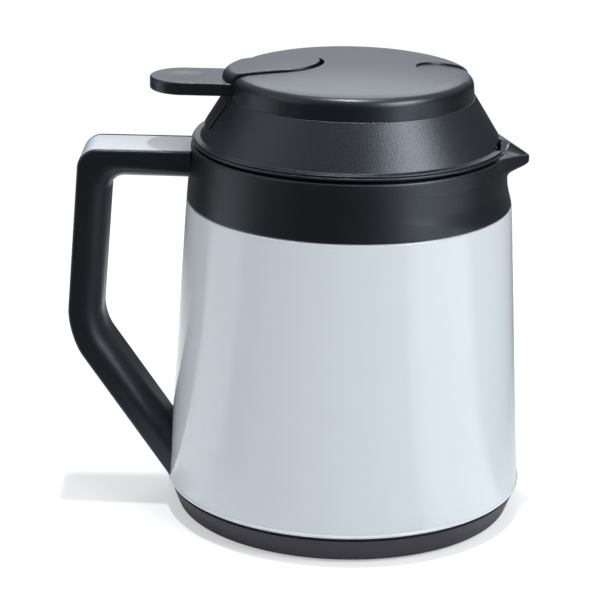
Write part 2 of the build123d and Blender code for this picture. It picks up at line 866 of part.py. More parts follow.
def lid_cone():
    """Outer cone of the lid, with the hinge lugs and the raised pad under the lever."""
    rim_under_z = cone_top_z - cover_spigot_wall
    spigot_bore = spigot_radius - cover_spigot_wall
    body = turned(
        (guide_radius, brim_z),
        (brim_radius, brim_z),
        (brim_radius, cone_z, brim_round),
        (cone_foot_radius, cone_z),
        (cone_top_radius, cone_top_z),
        (spigot_radius, cone_top_z),
        (spigot_radius, cone_top_z + cover_spigot_height),
        (spigot_bore, cone_top_z + cover_spigot_height),
        (spigot_bore, rim_under_z),
        (cone_radius(rim_under_z) - cone_wall, rim_under_z),
        (cone_radius(guide_top_z) - cone_wall, guide_top_z),
        (guide_radius, guide_top_z),
    )
    body -= spout_side_cut(guide_radius, brim_z - overcut, cone_z + cone_lift)
    body += flank_pad()
    for x, y in on_circle(guide_screw_circle, guide_screw_count):
        body += disc(guide_boss_radius, guide_top_z, guide_top_z + guide_boss_height, x, y)
        body -= disc(small_shank, 0, guide_top_z + guide_bite, x, y)
    sill_z = cone_top_z - press_drop
    relief_z = pivot_z - root_depth - root_under_gap
    front_x = root_end_x + root_front_gap
    body -= block(-far, front_x, -window_half, window_half, sill_z, far)
    body -= block(-spigot_radius, front_x, -window_half, window_half, relief_z, far)
    body += hinge_lugs()
    return body - bar_along_y(pin_radius, window_half + lug_thickness, pivot_x, pivot_z)


def flank_pad():
    """Low raised pad on the flank of the cone, as wide as the lever."""
    low = cone_top_z - flank_pad_drop
    high = cone_top_z
    pad = turned(
        (cone_radius(low) - cone_wall / 2, low),
        (cone_radius(low) + flank_pad_raise, low, flank_pad_round),
        (cone_radius(high) + flank_pad_raise, high),
        (cone_radius(high) - cone_wall / 2, high),
    )
    return pad & block(-far, 0, -lever_width / 2, lever_width / 2, 0, far)


def hinge_lugs():
    """Two lugs that carry the hinge pin, grown out of the wall of the cone."""
    inside = turned(
        (0, cone_z),
        (cone_foot_radius - cone_wall / 2, cone_z),
        (cone_top_radius - cone_wall / 2, cone_top_z),
        (spigot_radius, cone_top_z),
        (spigot_radius, far),
        (0, far),
    )
    outer = window_half + lug_thickness
    low = pivot_z - lug_depth
    high = pivot_z + lug_rise
    lugs = block(-far, pivot_x + lug_reach, -outer, outer, low, high)
    lugs -= block(-far, 0, -window_half, window_half, 0, far)
    return lugs & inside


def tongue_plan(play, end_play):
    """Plan of the lever's tongue, from the rim to its round tip, grown at the sides and the end."""
    half = lever_width / 2 + play
    return raised(
        cone_z,
        far,
        (-far, -half),
        (tip_x + end_play, -half, half),
        (tip_x + end_play, half, half),
        (-far, half),
    )


def lid_cover():
    """Domed top of the lid, with the lever's window and pocket and the dent over the spout."""
    full_height = cover_height + dome_rise
    high_radius = cover_radius - cover_side_inset * full_height / cover_height
    outside = turned((0, cone_top_z), (cover_radius, cone_top_z), (high_radius, dome_top_z), (0, dome_top_z))
    cover = outside & dome(0)
    rim = [edge for edge in cover.faces().sort_by(Axis.Z)[-1].edges() if edge.is_closed]
    cover = fillet(rim, cover_edge_round)
    cover -= disc(cover_bore, 0, far) & dome(-cover_wall)
    pocket = tongue_plan(lever_gap, tip_gap) - dome(-tongue_sink - pocket_clearance)
    cover -= pocket
    cover -= block(-far, root_end_x + lever_gap, -window_half, window_half, 0, far)
    dent_x = cover_radius - dent_length
    dent_half = dent_width / 2
    dent_plan = raised(
        cone_z,
        far,
        (dent_x, -dent_half, dent_half),
        (far, -dent_half),
        (far, dent_half),
        (dent_x, dent_half, dent_half),
    )
    return cover - (dent_plan - dome(-dent_depth))


def hinge_pin():
    """Steel pin through the lugs and the lever."""
    return bar_along_y(pin_radius, window_half + lug_thickness, pivot_x, pivot_z)


# ---------------------------------------------------------------- lever
def thumb_lever():
    """Pad, knuckle and tongue outside, and the fork that lifts the stem inside."""
    half = lever_width / 2
    root_x = pivot_x - root_setback
    knuckle_x = -cover_radius - knuckle_overhang
    pad = raised(
        pad_under_z,
        pad_top_z,
        (-pad_reach, -half, half),
        (root_end_x, -half),
        (root_end_x, half),
        (-pad_reach, half, half),
    )
    rim = pad.faces().sort_by(Axis.Z)[-1].edges() + pad.faces().sort_by(Axis.Z)[0].edges()
    pad = fillet([edge for edge in rim if edge.center().X < knuckle_x], pad_edge_round)
    dish_centre = -pad_reach + half
    dish_radius = (pad_dish_radius**2 + pad_dish_depth**2) / (2 * pad_dish_depth)
    pad -= Pos(dish_centre, 0, pad_top_z - pad_dish_depth + dish_radius) * Sphere(dish_radius)
    upper = tongue_plan(0, 0) & block(knuckle_x, 0, -half, half, pad_under_z, far) & dome(tongue_proud)
    upper -= block(root_end_x, far, -half, half, 0, far) & dome(-tongue_sink)
    front = upper.faces().sort_by(Axis.X)[0].edges().sort_by(Axis.Z)[-1]
    upper = fillet(front, knuckle_round)
    lever = pad + upper
    lever += block(root_x, root_end_x, -half, half, pivot_z - root_depth, pad_top_z)
    inner = stem_head_width / 2 + fork_gap
    outer = inner + fork_prong
    low = link_z - fork_height / 2
    high = link_z + fork_height / 2
    for side in (-1, 1):
        edges = sorted((side * inner, side * outer))
        lever += block(root_end_x - overcut, 0, edges[0], edges[1], low, high)
        knob = bar_along_y(fork_height / 2, outer, 0, link_z)
        lever += knob & block(-far, far, edges[0], edges[1], 0, far)
    lever -= bar_along_y(pin_radius, far, 0, link_z)
    return lever - bar_along_y(pin_radius + pin_fit, far, pivot_x, pivot_z)


def link_pin():
    """Pin through the fork that carries the head of the stem."""
    half = stem_head_width / 2 + fork_gap + fork_prong
    return bar_along_y(pin_radius, half, 0, link_z)


# ---------------------------------------------------------------- valve
def valve_stem():
    """Stem with a slotted head above and a thin tail through the disc."""
    half = stem_head_width / 2
    shoulder_z = disc_z + disc_thickness
    neck_z = link_z - stem_head_drop
    stem = disc(stem_tail_radius, disc_z - stem_clip_height, shoulder_z)
    stem += disc(stem_radius, shoulder_z, neck_z)
    stem += block(-stem_head_length / 2, stem_head_length / 2, -half, half, neck_z, link_z + stem_head_rise)
    reach = stem_slot_length / 2
    play = pin_radius + pin_fit
    return stem - block(-reach, reach, -far, far, link_z - play, link_z + play)


def valve_disc():
    """Disc that closes the seat."""
    return ring(stem_tail_radius, disc_radius, disc_z, disc_z + disc_thickness)


def valve_seal():
    """Silicone washer under the disc."""
    return ring(seat_bore - seal_overlap, disc_radius, seal_z, disc_z)


def stem_clip():
    """Push-on clip that keeps the disc on the stem."""
    return ring(stem_tail_radius, stem_clip_radius, disc_z - stem_clip_height, disc_z)


def valve_spring():
    """Compression spring between the disc and the guide's bush."""
    low = disc_z + disc_thickness + spring_wire
    high = guide_z - guide_bush_drop - spring_wire
    path = Pos(0, 0, low) * Helix((high - low) / spring_turns, high - low, spring_radius)
    return sweep(Plane(path @ 0, z_dir=path % 0) * Circle(spring_wire), path)


PARTS = (
    outer_shell,
    inner_liner,
    vessel_bottom,
    vacuum_seal,
    base_studs,
    base_cover,
    base_screws,
    foot_ring,
    collar,
    retaining_ring,
    neck_gasket,
    handle_core,
    handle_strip,
    handle_upper_screws,
    handle_bracket,
    handle_lower_screw,
    lid_base,
    lid_gasket,
    stem_guide,
    guide_screws,
    lid_cone,
    lid_cover,
    hinge_pin,
    thumb_lever,
    link_pin,
    valve_stem,
    valve_disc,
    valve_seal,
    stem_clip,
    valve_spring,
)

os.makedirs("parts", exist_ok=True)
for build in PARTS:
    save(build.__name__, build())
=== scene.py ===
"""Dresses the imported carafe: outside pieces with soft edges, a finish for each part, a stage."""

import json
import math

import bmesh
import bpy
from bpy.props import FloatProperty, FloatVectorProperty, PointerProperty
from mathutils import Matrix, Vector


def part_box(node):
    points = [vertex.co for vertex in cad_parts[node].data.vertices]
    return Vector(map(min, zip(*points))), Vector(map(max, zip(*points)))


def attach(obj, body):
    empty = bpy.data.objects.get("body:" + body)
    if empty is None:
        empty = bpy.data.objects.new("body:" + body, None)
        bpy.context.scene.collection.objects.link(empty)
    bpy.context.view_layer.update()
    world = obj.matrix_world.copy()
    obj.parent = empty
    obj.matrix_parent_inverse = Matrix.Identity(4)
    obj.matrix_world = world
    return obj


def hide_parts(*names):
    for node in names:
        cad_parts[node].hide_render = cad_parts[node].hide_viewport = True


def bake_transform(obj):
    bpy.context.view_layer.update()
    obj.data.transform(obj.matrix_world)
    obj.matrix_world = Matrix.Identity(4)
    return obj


bl_info = {
    "name": "Thermal Carafe",
    "version": (1, 0, 0),
    "blender": (4, 5, 0),
    "location": "3D Viewport > Sidebar > Carafe",
    "description": "Dresses a thermal carafe with a thumb-lever lid",
    "category": "Add Mesh",
}

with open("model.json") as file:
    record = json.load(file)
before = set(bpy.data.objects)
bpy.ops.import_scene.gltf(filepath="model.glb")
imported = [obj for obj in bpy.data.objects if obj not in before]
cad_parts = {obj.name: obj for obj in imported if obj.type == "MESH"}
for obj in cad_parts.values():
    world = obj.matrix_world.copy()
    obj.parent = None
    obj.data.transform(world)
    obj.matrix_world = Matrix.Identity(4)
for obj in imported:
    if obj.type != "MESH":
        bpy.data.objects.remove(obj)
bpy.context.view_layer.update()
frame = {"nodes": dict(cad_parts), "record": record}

MM = 0.001
FULL_TURN = 2 * math.pi
STEPS = 240                    # divisions round a turned piece
CREASE = math.radians(32)      # edges sharper than this are shaded sharp
NEAR = 1e-4                    # points closer than this are one point, in millimetres
COILS = 6                      # turns of the valve's spring
COIL_STEPS = 32                # divisions of each of those turns
WHITE = (1, 1, 1, 1)


def box_mm(node):
    """Lowest and highest corner of a CAD node in millimetres."""
    low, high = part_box(node)
    return [value / MM for value in low], [value / MM for value in high]


def length(name, description, millimetres):
    """A size that a user may change."""
    return FloatProperty(
        name=name, description=description, default=millimetres * MM,
        unit="LENGTH", subtype="DISTANCE", precision=5,
    )


def colour(name, description, shade):
    """A colour that a user may change."""
    return FloatVectorProperty(
        name=name, description=description, default=shade, subtype="COLOR", size=3, min=0, max=1,
    )


def level(name, description, default):
    """A plain number from nought upwards."""
    return FloatProperty(name=name, description=description, default=default, min=0)


SHELL = box_mm("outer_shell")
COLLAR = box_mm("collar")
CORE = box_mm("handle_core")
STRIP = box_mm("handle_strip")
PLUG = box_mm("lid_base")
CONE = box_mm("lid_cone")
COVER = box_mm("lid_cover")
LEVER = box_mm("thumb_lever")


# ---------------------------------------------------------------- sizes and colours
class CarafeVesselSizes(bpy.types.PropertyGroup):
    foot_radius: length("Foot radius", "Shell at its lower edge", SHELL[1][0])
    foot_height: length("Foot height", "Lower edge of the shell above the ground", SHELL[0][2])
    top_radius: length("Top radius", "Shell at its shoulder", -COLLAR[0][0])
    top_height: length("Top height", "Shoulder of the shell above the ground", COLLAR[0][2])
    neck_radius: length("Neck radius", "Outside of the steel neck", 54.3)
    neck_height: length("Neck height", "Top of the steel neck above the ground", SHELL[1][2])
    steel: length("Steel", "Thickness of the walls", 0.8)
    hem: length("Hem", "Bead along the shell's lower edge", 0.35)
    foot_gap: length("Foot gap", "Groove between the shell and the base", 0.8)
    shoulder_round: length("Shoulder round", "Round of the shell's upper edge", 0.8)


class CarafeCollarSizes(bpy.types.PropertyGroup):
    rim_radius: length("Rim radius", "Outside of the collar at its rim", 64.0)
    rim_height: length("Rim height", "Rim above the ground", COLLAR[1][2])
    throat_radius: length("Throat radius", "Opening the lid sits in", 60.6)
    throat_depth: length("Throat depth", "Ledge below the rim", 4.8)
    lip_reach: length("Lip reach", "Tip of the spout from the axis", COLLAR[1][0])
    lip_drop: length("Lip drop", "Tip of the spout below the rim", 3.3)
    lip_round: length("Lip round", "Round of the spout's tip in plan", 3.5)
    crease_drop: length("Crease drop", "Lower edge of the rim's band below the rim", 5.6)
    waist_drop: length("Waist drop", "Narrowest place under the spout below the rim", 14.0)
    waist_depth: length("Waist depth", "Hollow under the spout", 1.4)
    trough_half: length("Trough half width", "Half the width of the pouring channel", 11.0)
    lip_wall: length("Lip wall", "Wall at the tip of the spout", 1.4)
    edge: length("Edge", "Round of the rim's outer edge", 0.9)
    fine_edge: length("Fine edge", "Round of the inner edges", 0.35)


class CarafeHandleSizes(bpy.types.PropertyGroup):
    width: length("Width", "Grip across", CORE[1][1] - CORE[0][1])
    thickness: length("Thickness", "Grip front to back", 13.5)
    arm_top: length("Arm top", "Top of the arm above the ground", CORE[1][2])
    arm_thickness: length("Arm thickness", "Arm from top to bottom", 11.8)
    grip_reach: length("Grip reach", "Top of the grip from the axis", 108.5)
    bend_reach: length("Bend reach", "Corner of the lower bend from the axis", 114.0)
    bend_height: length("Bend height", "Corner of the lower bend above the ground", 73.4)
    tail_height: length("Tail height", "End of the tail above the ground", 14.0)
    edge: length("Edge", "Round of the outer long edges", 1.3)
    grip_round: length("Grip round", "Round of the long edges on the fingers' side", 8.4)
    strip_width: length("Strip width", "White strip across", STRIP[1][1] - STRIP[0][1])
    strip_thickness: length("Strip thickness", "White strip", 1.6)
    strip_end: length("Strip end", "Lower end of the strip above the ground", STRIP[0][2])
    strip_edge: length("Strip edge", "Round of the strip's edges", 0.35)


class CarafeLidSizes(bpy.types.PropertyGroup):
    flange_radius: length("Flange radius", "Lower flange of the lid", PLUG[1][1] - 0.6)
    flange_height: length("Flange height", "Underside of the flange", 154.6)
    plug_radius: length("Plug radius", "Plug inside the neck", 49.6)
    plug_floor: length("Plug floor", "Underside of the plug", PLUG[0][2])
    wall_radius: length("Wall radius", "Upper wall of the lid inside the throat", 59.8)
    brim_radius: length("Brim radius", "Upper brim of the lid", CONE[1][1] - 0.6)
    cone_foot: length("Cone foot", "Radius of the cone at its foot", 60.3)
    cone_top: length("Cone top", "Radius of the cone at its top", 49.5)
    cone_height: length("Cone height", "Top of the cone above the ground", 174.0)
    cover_radius: length("Cover radius", "Domed cover at its lower edge", COVER[1][1])
    dome_height: length("Dome height", "Top of the dome above the ground", 186.6)
    dome_rise: length("Dome rise", "Rise of the dome above its edge", 4.0)
    cover_edge: length("Cover edge", "Round of the cover's edge", 3.6)
    cover_wall: length("Cover wall", "Thickness of the cover", 2.2)
    dent_tip: length("Dent tip", "Inner end of the finger dent from the axis", 25.7)
    dent_half: length("Dent half width", "Half the width of the finger dent", 13.0)
    dent_depth: length("Dent depth", "Finger dent", 0.9)
    edge: length("Edge", "Round of the brim's and the flange's edges", 0.4)
    spring_radius: length("Spring radius", "Valve spring, to the middle of its wire", 5.2)
    spring_wire: length("Spring wire", "Radius of the spring's wire", 0.5)


class CarafeLeverSizes(bpy.types.PropertyGroup):
    width: length("Width", "Lever across", LEVER[1][1] - LEVER[0][1])
    gap: length("Gap", "Play beside the tongue", 0.4)
    tip_gap: length("Tip gap", "Play ahead of the tongue's tip", 1.4)
    reach: length("Reach", "End of the pad from the axis", -LEVER[0][0])
    pad_top: length("Pad top", "Top of the pad above the ground", 179.8)
    pad_thickness: length("Pad thickness", "Thumb pad", 5.2)
    pad_edge: length("Pad edge", "Round of the pad's edges", 0.8)
    dish_radius: length("Dish radius", "Shallow dish of the pad", 9.0)
    dish_depth: length("Dish depth", "Shallow dish of the pad", 0.75)
    tip: length("Tip", "Tip of the tongue from the axis", 12.8)
    proud: length("Proud", "Tongue above the dome", 0.9)
    sink: length("Sink", "Underside of the tongue below the dome", 1.2)
    knuckle: length("Knuckle", "Front of the knuckle beyond the cover", 2.6)
    knuckle_bow: length("Knuckle bow", "Radius of the knuckle's front in plan", 25.0)
    knuckle_round: length("Knuckle round", "Shoulder of the knuckle", 4.4)
    tongue_edge: length("Tongue edge", "Round of the tongue's edges", 0.6)
    flank_pad: length("Flank pad", "Raised pad on the cone under the lever", 1.2)


class CarafeFinishes(bpy.types.PropertyGroup):
    coat: colour("Coat", "White gloss coat of the shell", (0.485, 0.511, 0.534))
    strip: colour("Strip", "White strip of the handle", (0.49, 0.509, 0.528))
    black: colour("Black", "Satin black plastic", (0.004, 0.0045, 0.006))
    base: colour("Base", "Matte plastic of the base", (0.030, 0.027, 0.033))
    grey: colour("Grey", "Plastic inside the lid", (0.16, 0.16, 0.17))
    steel: colour("Steel", "Bare steel", (0.58, 0.58, 0.57))
    rubber: colour("Rubber", "Foot ring", (0.02, 0.02, 0.02))
    silicone: colour("Silicone", "Seals", (0.46, 0.46, 0.44))


class CarafeStage(bpy.types.PropertyGroup):
    overhead: level("Overhead lamp", "Power of the lamp above, in watts", 11.5)
    left: level("Left lamp", "Power of the lamp on the left, in watts", 2.6)
    side: level("Side lamp", "Power of the lamp on the right, in watts", 8.4)
    back: level("Back lamp", "Power of the lamp behind, in watts", 3.3)
    fill: level("Fill", "Strength of the even light all round", 0.56)
    dark_front: level("Dark front", "How dark the floor far in front is in reflections", 0.93)
    floor: colour("Floor", "Paper the carafe stands on", (0.93, 0.93, 0.94))


class Millimetres:
    """Reads a group of sizes in millimetres."""

    def __init__(self, group):
        self.group = group

    def __getattr__(self, name):
        return getattr(self.group, name) / MM


# ---------------------------------------------------------------- finishes
def sign(operation, turned=False):
    """One of Python's signs as a Math node, turned where the value stands on the right."""

    def apply(self, other):
        return self.maths(operation, *((other, self) if turned else (self, other)))

    return apply


class Value:
    """A number that varies over a surface, with Python's own signs for its maths."""

    def __init__(self, paint, socket):
        self.paint = paint
        self.socket = socket

    def maths(self, operation, *values):
        """A Math node."""
        return self.paint.add("Math", {"operation": operation}, values)

    def __abs__(self):
        return self.maths("ABSOLUTE", self)

    __add__, __radd__ = sign("ADD"), sign("ADD", turned=True)
    __sub__, __rsub__ = sign("SUBTRACT"), sign("SUBTRACT", turned=True)
    __mul__, __rmul__ = sign("MULTIPLY"), sign("MULTIPLY", turned=True)
    __truediv__, __pow__, larger = sign("DIVIDE"), sign("POWER"), sign("MAXIMUM")


class Paint:
    """The nodes of one finish."""

    def __init__(self, tree):
        self.tree = tree
        self.tree.nodes.clear()

    def add(self, kind, settings=None, values=(), output=0):
        """A node of a kind, with its settings and its sockets by name or by place.

        What comes back is one output, or all of them where the output is None.
        """
        node = self.tree.nodes.new("ShaderNode" + kind)
        for name, setting in (settings or {}).items():
            setattr(node, name, setting)
        pairs = values.items() if isinstance(values, dict) else enumerate(values)
        for key, value in pairs:
            socket = node.inputs[key]
            if isinstance(value, Value):
                self.tree.links.new(value.socket, socket)
            else:
                socket.default_value = value
        found = [Value(self, socket) for socket in node.outputs]
        if output is None or not found:
            return found
        return found[output] if isinstance(output, int) else Value(self, node.outputs[output])

    def split(self, vector):
        """The three numbers of a vector."""
        return self.add("SeparateXYZ", {}, (vector,), output=None)

    def ramp(self, value, low, high):
        """Nought below low, one above high, smooth between."""
        settings = {"data_type": "FLOAT", "interpolation_type": "SMOOTHSTEP"}
        return self.add("MapRange", settings, {0: value, 1: low, 2: high, 3: 0.0, 4: 1.0})

    def place(self, stretch=(1, 1, 1)):
        """Position on the piece, in metres, stretched along its axes."""
        there = self.add("TexCoord", output="Object")
        return self.add("Mapping", {"vector_type": "POINT"}, {"Vector": there, "Scale": stretch})

    def noise(self, size, detail=2.0, roughness=0.5, stretch=(1, 1, 1)):
        """Cloudy noise whose lumps are about as wide as size, in metres."""
        sockets = {"Vector": self.place(stretch), "Scale": 1 / size}
        sockets.update({"Detail": detail, "Roughness": roughness})
        return self.add("TexNoise", {"noise_dimensions": "3D"}, sockets)

    def grain(self, size):
        """Small cells, as of a spark-eroded mould."""
        sockets = {"Vector": self.place(), "Scale": 1 / size}
        return self.add("TexVoronoi", {"feature": "F1"}, sockets)

    def mix(self, amount, first, second):
        """From one colour to another."""
        return self.add("Mix", {"data_type": "RGBA"}, {0: amount, 6: first, 7: second}, output=2)

    def bump(self, height, distance, strength):
        """Relief of a height, in metres at full height."""
        return self.add("Bump", {}, {"Height": height, "Distance": distance, "Strength": strength})

    def surface(self, **values):
        """The finish itself."""
        sockets = {name.replace("_", " "): value for name, value in values.items()}
        self.add("OutputMaterial", {}, {"Surface": self.add("BsdfPrincipled", {}, sockets)})


def rgba(shade, factor=1.0):
    """A colour, made lighter or darker, with full cover."""
    return (*[min(1.0, part * factor) for part in shade], 1.0)


def new_finish(name):
    """An empty material and its nodes."""
    material = bpy.data.materials.new(name)
    material.use_nodes = True
    return material, Paint(material.node_tree)


def gloss_coat(name, shade, roughness):
    """White coat over steel or plastic: nearly smooth, with a faint waviness."""
    material, paint = new_finish(name)
    cloud = paint.noise(0.045, detail=2)
    peel = paint.noise(0.0022, detail=1)
    paint.surface(
        Base_Color=paint.mix(cloud, rgba(shade, 0.985), rgba(shade, 1.01)),
        Roughness=roughness + 0.03 * cloud,
        Specular_IOR_Level=0.5,
        Normal=paint.bump(peel, 0.00001, 0.35),
    )
    return material


def moulded_black(name, shade, roughness, grain_depth, specular):
    """Black plastic with the fine grain of its mould and faint cloudiness."""
    material, paint = new_finish(name)
    cloud = paint.noise(0.028, detail=3)
    speck = paint.noise(0.0007, detail=2.5, roughness=0.75)
    fine = paint.grain(0.0006)
    height = speck * 0.7 + fine * 0.4
    paint.surface(
        Base_Color=paint.mix(cloud, rgba(shade, 0.85), rgba(shade, 1.2)),
        Roughness=roughness + 0.05 * cloud + 0.07 * speck,
        Specular_IOR_Level=specular,
        Specular_Tint=(0.84, 0.91, 1.0, 1.0),
        Normal=paint.bump(height, grain_depth, 0.8),
    )
    return material


def plain_plastic(name, shade):
    """Uncoloured inner plastic, slightly mottled."""
    material, paint = new_finish(name)
    cloud = paint.noise(0.012, detail=3)
    paint.surface(
        Base_Color=paint.mix(cloud, rgba(shade, 0.9), rgba(shade, 1.1)),
        Roughness=0.42 + 0.1 * cloud,
        Specular_IOR_Level=0.4,
        Normal=paint.bump(paint.noise(0.0005), 0.00003, 0.5),
    )
    return material


def brushed_steel(name, shade):
    """Steel with fine lines round the axis."""
    material, paint = new_finish(name)
    lines = paint.noise(0.0006, detail=3, stretch=(0.06, 0.06, 1.0))
    cloud = paint.noise(0.02, detail=2)
    paint.surface(
        Base_Color=paint.mix(lines * 0.6 + cloud * 0.4, rgba(shade, 0.82), rgba(shade, 1.12)),
        Metallic=1.0,
        Roughness=0.24 + 0.12 * lines + 0.06 * cloud,
        Normal=paint.bump(lines, 0.00002, 0.5),
    )
    return material


def soft_rubber(name, shade, roughness, specular):
    """Rubber or silicone, with a bloom of dust-fine mottling."""
    material, paint = new_finish(name)
    cloud = paint.noise(0.006, detail=4)
    paint.surface(
        Base_Color=paint.mix(cloud, rgba(shade, 0.85), rgba(shade, 1.15)),
        Roughness=roughness + 0.12 * cloud,
        Specular_IOR_Level=specular,
        Normal=paint.bump(paint.noise(0.0007, detail=2), 0.00004, 0.6),
    )
    return material


FINISHES = {}


def make_finishes(shades):
    """One material for each finish of the record."""
    FINISHES.update({
        "shell_coat": gloss_coat("white gloss coat", shades.coat, 0.07),
        "strip_plastic": gloss_coat("white gloss plastic", shades.strip, 0.14),
        "body_plastic": moulded_black("satin black plastic", shades.black, 0.32, 0.00005, 0.6),
        "lid_plastic": moulded_black("satin black lid plastic", shades.black, 0.31, 0.0001, 0.65),
        "lid_cover": moulded_black("fine black cover plastic", shades.black, 0.27, 0.00003, 0.6),
        "base_plastic": moulded_black("matte base plastic", shades.base, 0.5, 0.00005, 0.3),
        "inner_plastic": plain_plastic("grey inner plastic", shades.grey),
        "bare_steel": brushed_steel("brushed steel", shades.steel),
        "foot_rubber": soft_rubber("foot rubber", shades.rubber, 0.7, 0.3),
        "seal_silicone": soft_rubber("seal silicone", shades.silicone, 0.45, 0.4),
    })


# ---------------------------------------------------------------- modelling helpers
def polar(angle, radius=1, z=0):
    """Place at an angle from the spout, a distance from the axis and a height."""
    return Vector((radius * math.cos(angle), radius * math.sin(angle), z))


def polar_angle(place):
    """Angle of a place from the spout."""
    return math.atan2(place.y, place.x)


def quarter(count, first=0):
    """Angles that divide a quarter turn, for rounding an edge."""
    return [math.pi / 2 * number / count for number in range(first, count + 1)]


def blend(value, width):
    """Nought below nought, the value itself above, with a soft bend of a half width."""
    if abs(value) >= width:
        return max(0, value)
    return (value + width) ** 2 / (4 * width)


def ease(value):
    """Nought below 0, one above 1, smooth between."""
    value = min(1, max(0, value))
    return value * value * (3 - 2 * value)


def centre(face):
    """Middle of a face."""
    return face.calc_center_median()


def pick(bm, test):
    """Faces whose middle passes a test."""
    return [face for face in bm.faces if test(centre(face))]


def made_of(result, kind):
    """What an operator made, of one kind."""
    return [item for item in result["geom"] if isinstance(item, kind)]


def bend(bm, vert, radius, segments=6):
    """Rounds the corner of a line at a vertex."""
    ways = [(edge.other_vert(vert).co - vert.co).normalized() for edge in vert.link_edges]
    reach = radius / math.tan(ways[0].angle(ways[1]) / 2)
    bmesh.ops.bevel(
        bm, geom=[vert], offset=reach, offset_type="OFFSET", segments=segments,
        profile=0.5, affect="VERTICES", material=-1,
    )


def draw(bm, corners, y=0, closed=True):
    """Upright line through corners (x, z), (x, z, round) or (x, z, round, segments)."""
    verts = [bm.verts.new((corner[0], y, corner[1])) for corner in corners]
    for first, second in zip(verts, verts[1:]):
        bm.edges.new((first, second))
    if closed:
        bm.edges.new((verts[-1], verts[0]))
    for vert, corner in zip(verts, corners):
        if len(corner) > 2:
            bend(bm, vert, *corner[2:])


def spin_round(bm):
    """Turns a half section right round the axis."""
    bmesh.ops.spin(
        bm, geom=bm.verts[:] + bm.edges[:], cent=(0, 0, 0), axis=(0, 0, 1), dvec=(0, 0, 0),
        angle=FULL_TURN, steps=STEPS, use_merge=True, use_duplicate=False,
    )
    bmesh.ops.remove_doubles(bm, verts=bm.verts[:], dist=NEAR)


def turn(bm, corners):
    """Turned body from the corners of its section."""
    draw(bm, corners)
    spin_round(bm)


def thicken(bm, way):
    """Raises a flat plan into a solid."""
    made = bmesh.ops.extrude_face_region(bm, geom=bm.faces[:])
    bmesh.ops.translate(bm, verts=made_of(made, bmesh.types.BMVert), vec=way)
    bmesh.ops.recalc_face_normals(bm, faces=bm.faces[:])


def slab(bm, corners, half):
    """Side view from its corners, given a width across the middle plane."""
    draw(bm, corners, -half)
    bmesh.ops.contextual_create(bm, geom=bm.edges[:])
    thicken(bm, (0, 2 * half, 0))


def add_box(bm, sides, middle):
    """A plain block about a middle."""
    verts = bmesh.ops.create_cube(bm, size=1)["verts"]
    bmesh.ops.scale(bm, vec=sides, verts=verts)
    bmesh.ops.translate(bm, vec=middle, verts=verts)


def tip_over(bm, verts):
    """Lays what was made in plan on its side, facing across."""
    bmesh.ops.rotate(bm, cent=(0, 0, 0), matrix=Matrix.Rotation(math.pi / 2, 3, "X"), verts=verts)


def soften(bm, edges, radius, segments):
    """Rounds edges."""
    bmesh.ops.bevel(
        bm, geom=edges, offset=radius, offset_type="OFFSET", segments=segments,
        profile=0.5, affect="EDGES", material=-1, clamp_overlap=False,
    )


def parts_of(faces):
    """Faces with their edges and vertices, as the cutting operators want them."""
    edges = dict.fromkeys(edge for face in faces for edge in face.edges)
    verts = dict.fromkeys(vert for face in faces for vert in face.verts)
    return [*faces, *edges, *verts]


def score(bm, faces, point, normal):
    """Cuts faces along a plane and returns those behind it."""
    point, normal = Vector(point), Vector(normal)
    cut = bmesh.ops.bisect_plane(
        bm, geom=parts_of(faces), plane_co=point, plane_no=normal, dist=NEAR,
    )
    pieces = dict.fromkeys(made_of(cut, bmesh.types.BMFace))
    return [face for face in pieces if (centre(face) - point).dot(normal) < 0]


def trim(bm, point, normal):
    """Takes off what is in front of a plane."""
    bmesh.ops.bisect_plane(
        bm, geom=parts_of(bm.faces[:]), plane_co=point, plane_no=normal, dist=NEAR,
        clear_outer=True,
    )


def tongue_lines(tip, half, way, count=36):
    """Tangents (point, normal) of a plan shape with parallel sides and a round end at a tip."""
    middle = Vector((tip - way * half, 0, 0))
    lines = []
    for number in range(count + 1):
        angle = math.pi * (number / count - 0.5)
        normal = Vector((way * math.cos(angle), math.sin(angle), 0))
        lines.append((middle + normal * half, normal))
    return sorted(lines, key=lambda line: abs(line[1].y))


def tongue_distance(x, y, tip, half, way):
    """How far a place lies outside that plan shape."""
    beyond = (x - (tip - way * half)) * way
    return math.hypot(max(beyond, 0), y) - half


def mesh_of(bm, name):
    """The finished mesh."""
    mesh = bpy.data.meshes.new(name)
    bm.to_mesh(mesh)
    bm.free()
    return mesh


def add_object(name, data):
    """A new thing in the scene."""
    thing = bpy.data.objects.new(name, data)
    bpy.context.scene.collection.objects.link(thing)
    return thing


def finish_piece(bm, name, body, slot, *nodes, wall=None, finish=None, stretch=None):
    """Turns a mesh built in millimetres into a piece that stands for CAD nodes.

    A piece given a stretch, of another body and two heights, is baked where it stands and attached
    to no body; the other body and the heights are not used.
    """
    bmesh.ops.remove_doubles(bm, verts=bm.verts[:], dist=NEAR)
    bmesh.ops.dissolve_degenerate(bm, edges=bm.edges[:], dist=NEAR)
    bmesh.ops.recalc_face_normals(bm, faces=bm.faces[:])
    for face in bm.faces:
        face.smooth = True
    for edge in bm.edges:
        edge.smooth = len(edge.link_faces) == 2 and edge.calc_face_angle(0) < CREASE
    bmesh.ops.scale(bm, vec=(MM, MM, MM), verts=bm.verts[:])
    piece = add_object(name, mesh_of(bm, name))
    piece.data.materials.append(FINISHES[finish or slot])
    if wall:
        shell = piece.modifiers.new("wall", "SOLIDIFY")
        shell.thickness, shell.offset, shell.use_even_offset = wall * MM, -1, True
    piece.modifiers.new("even shading", "WEIGHTED_NORMAL").keep_sharp = True
    if stretch:
        other, low, high = stretch
        low * MM
        high * MM
        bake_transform(piece)
    else:
        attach(piece, body)
    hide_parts(*nodes)


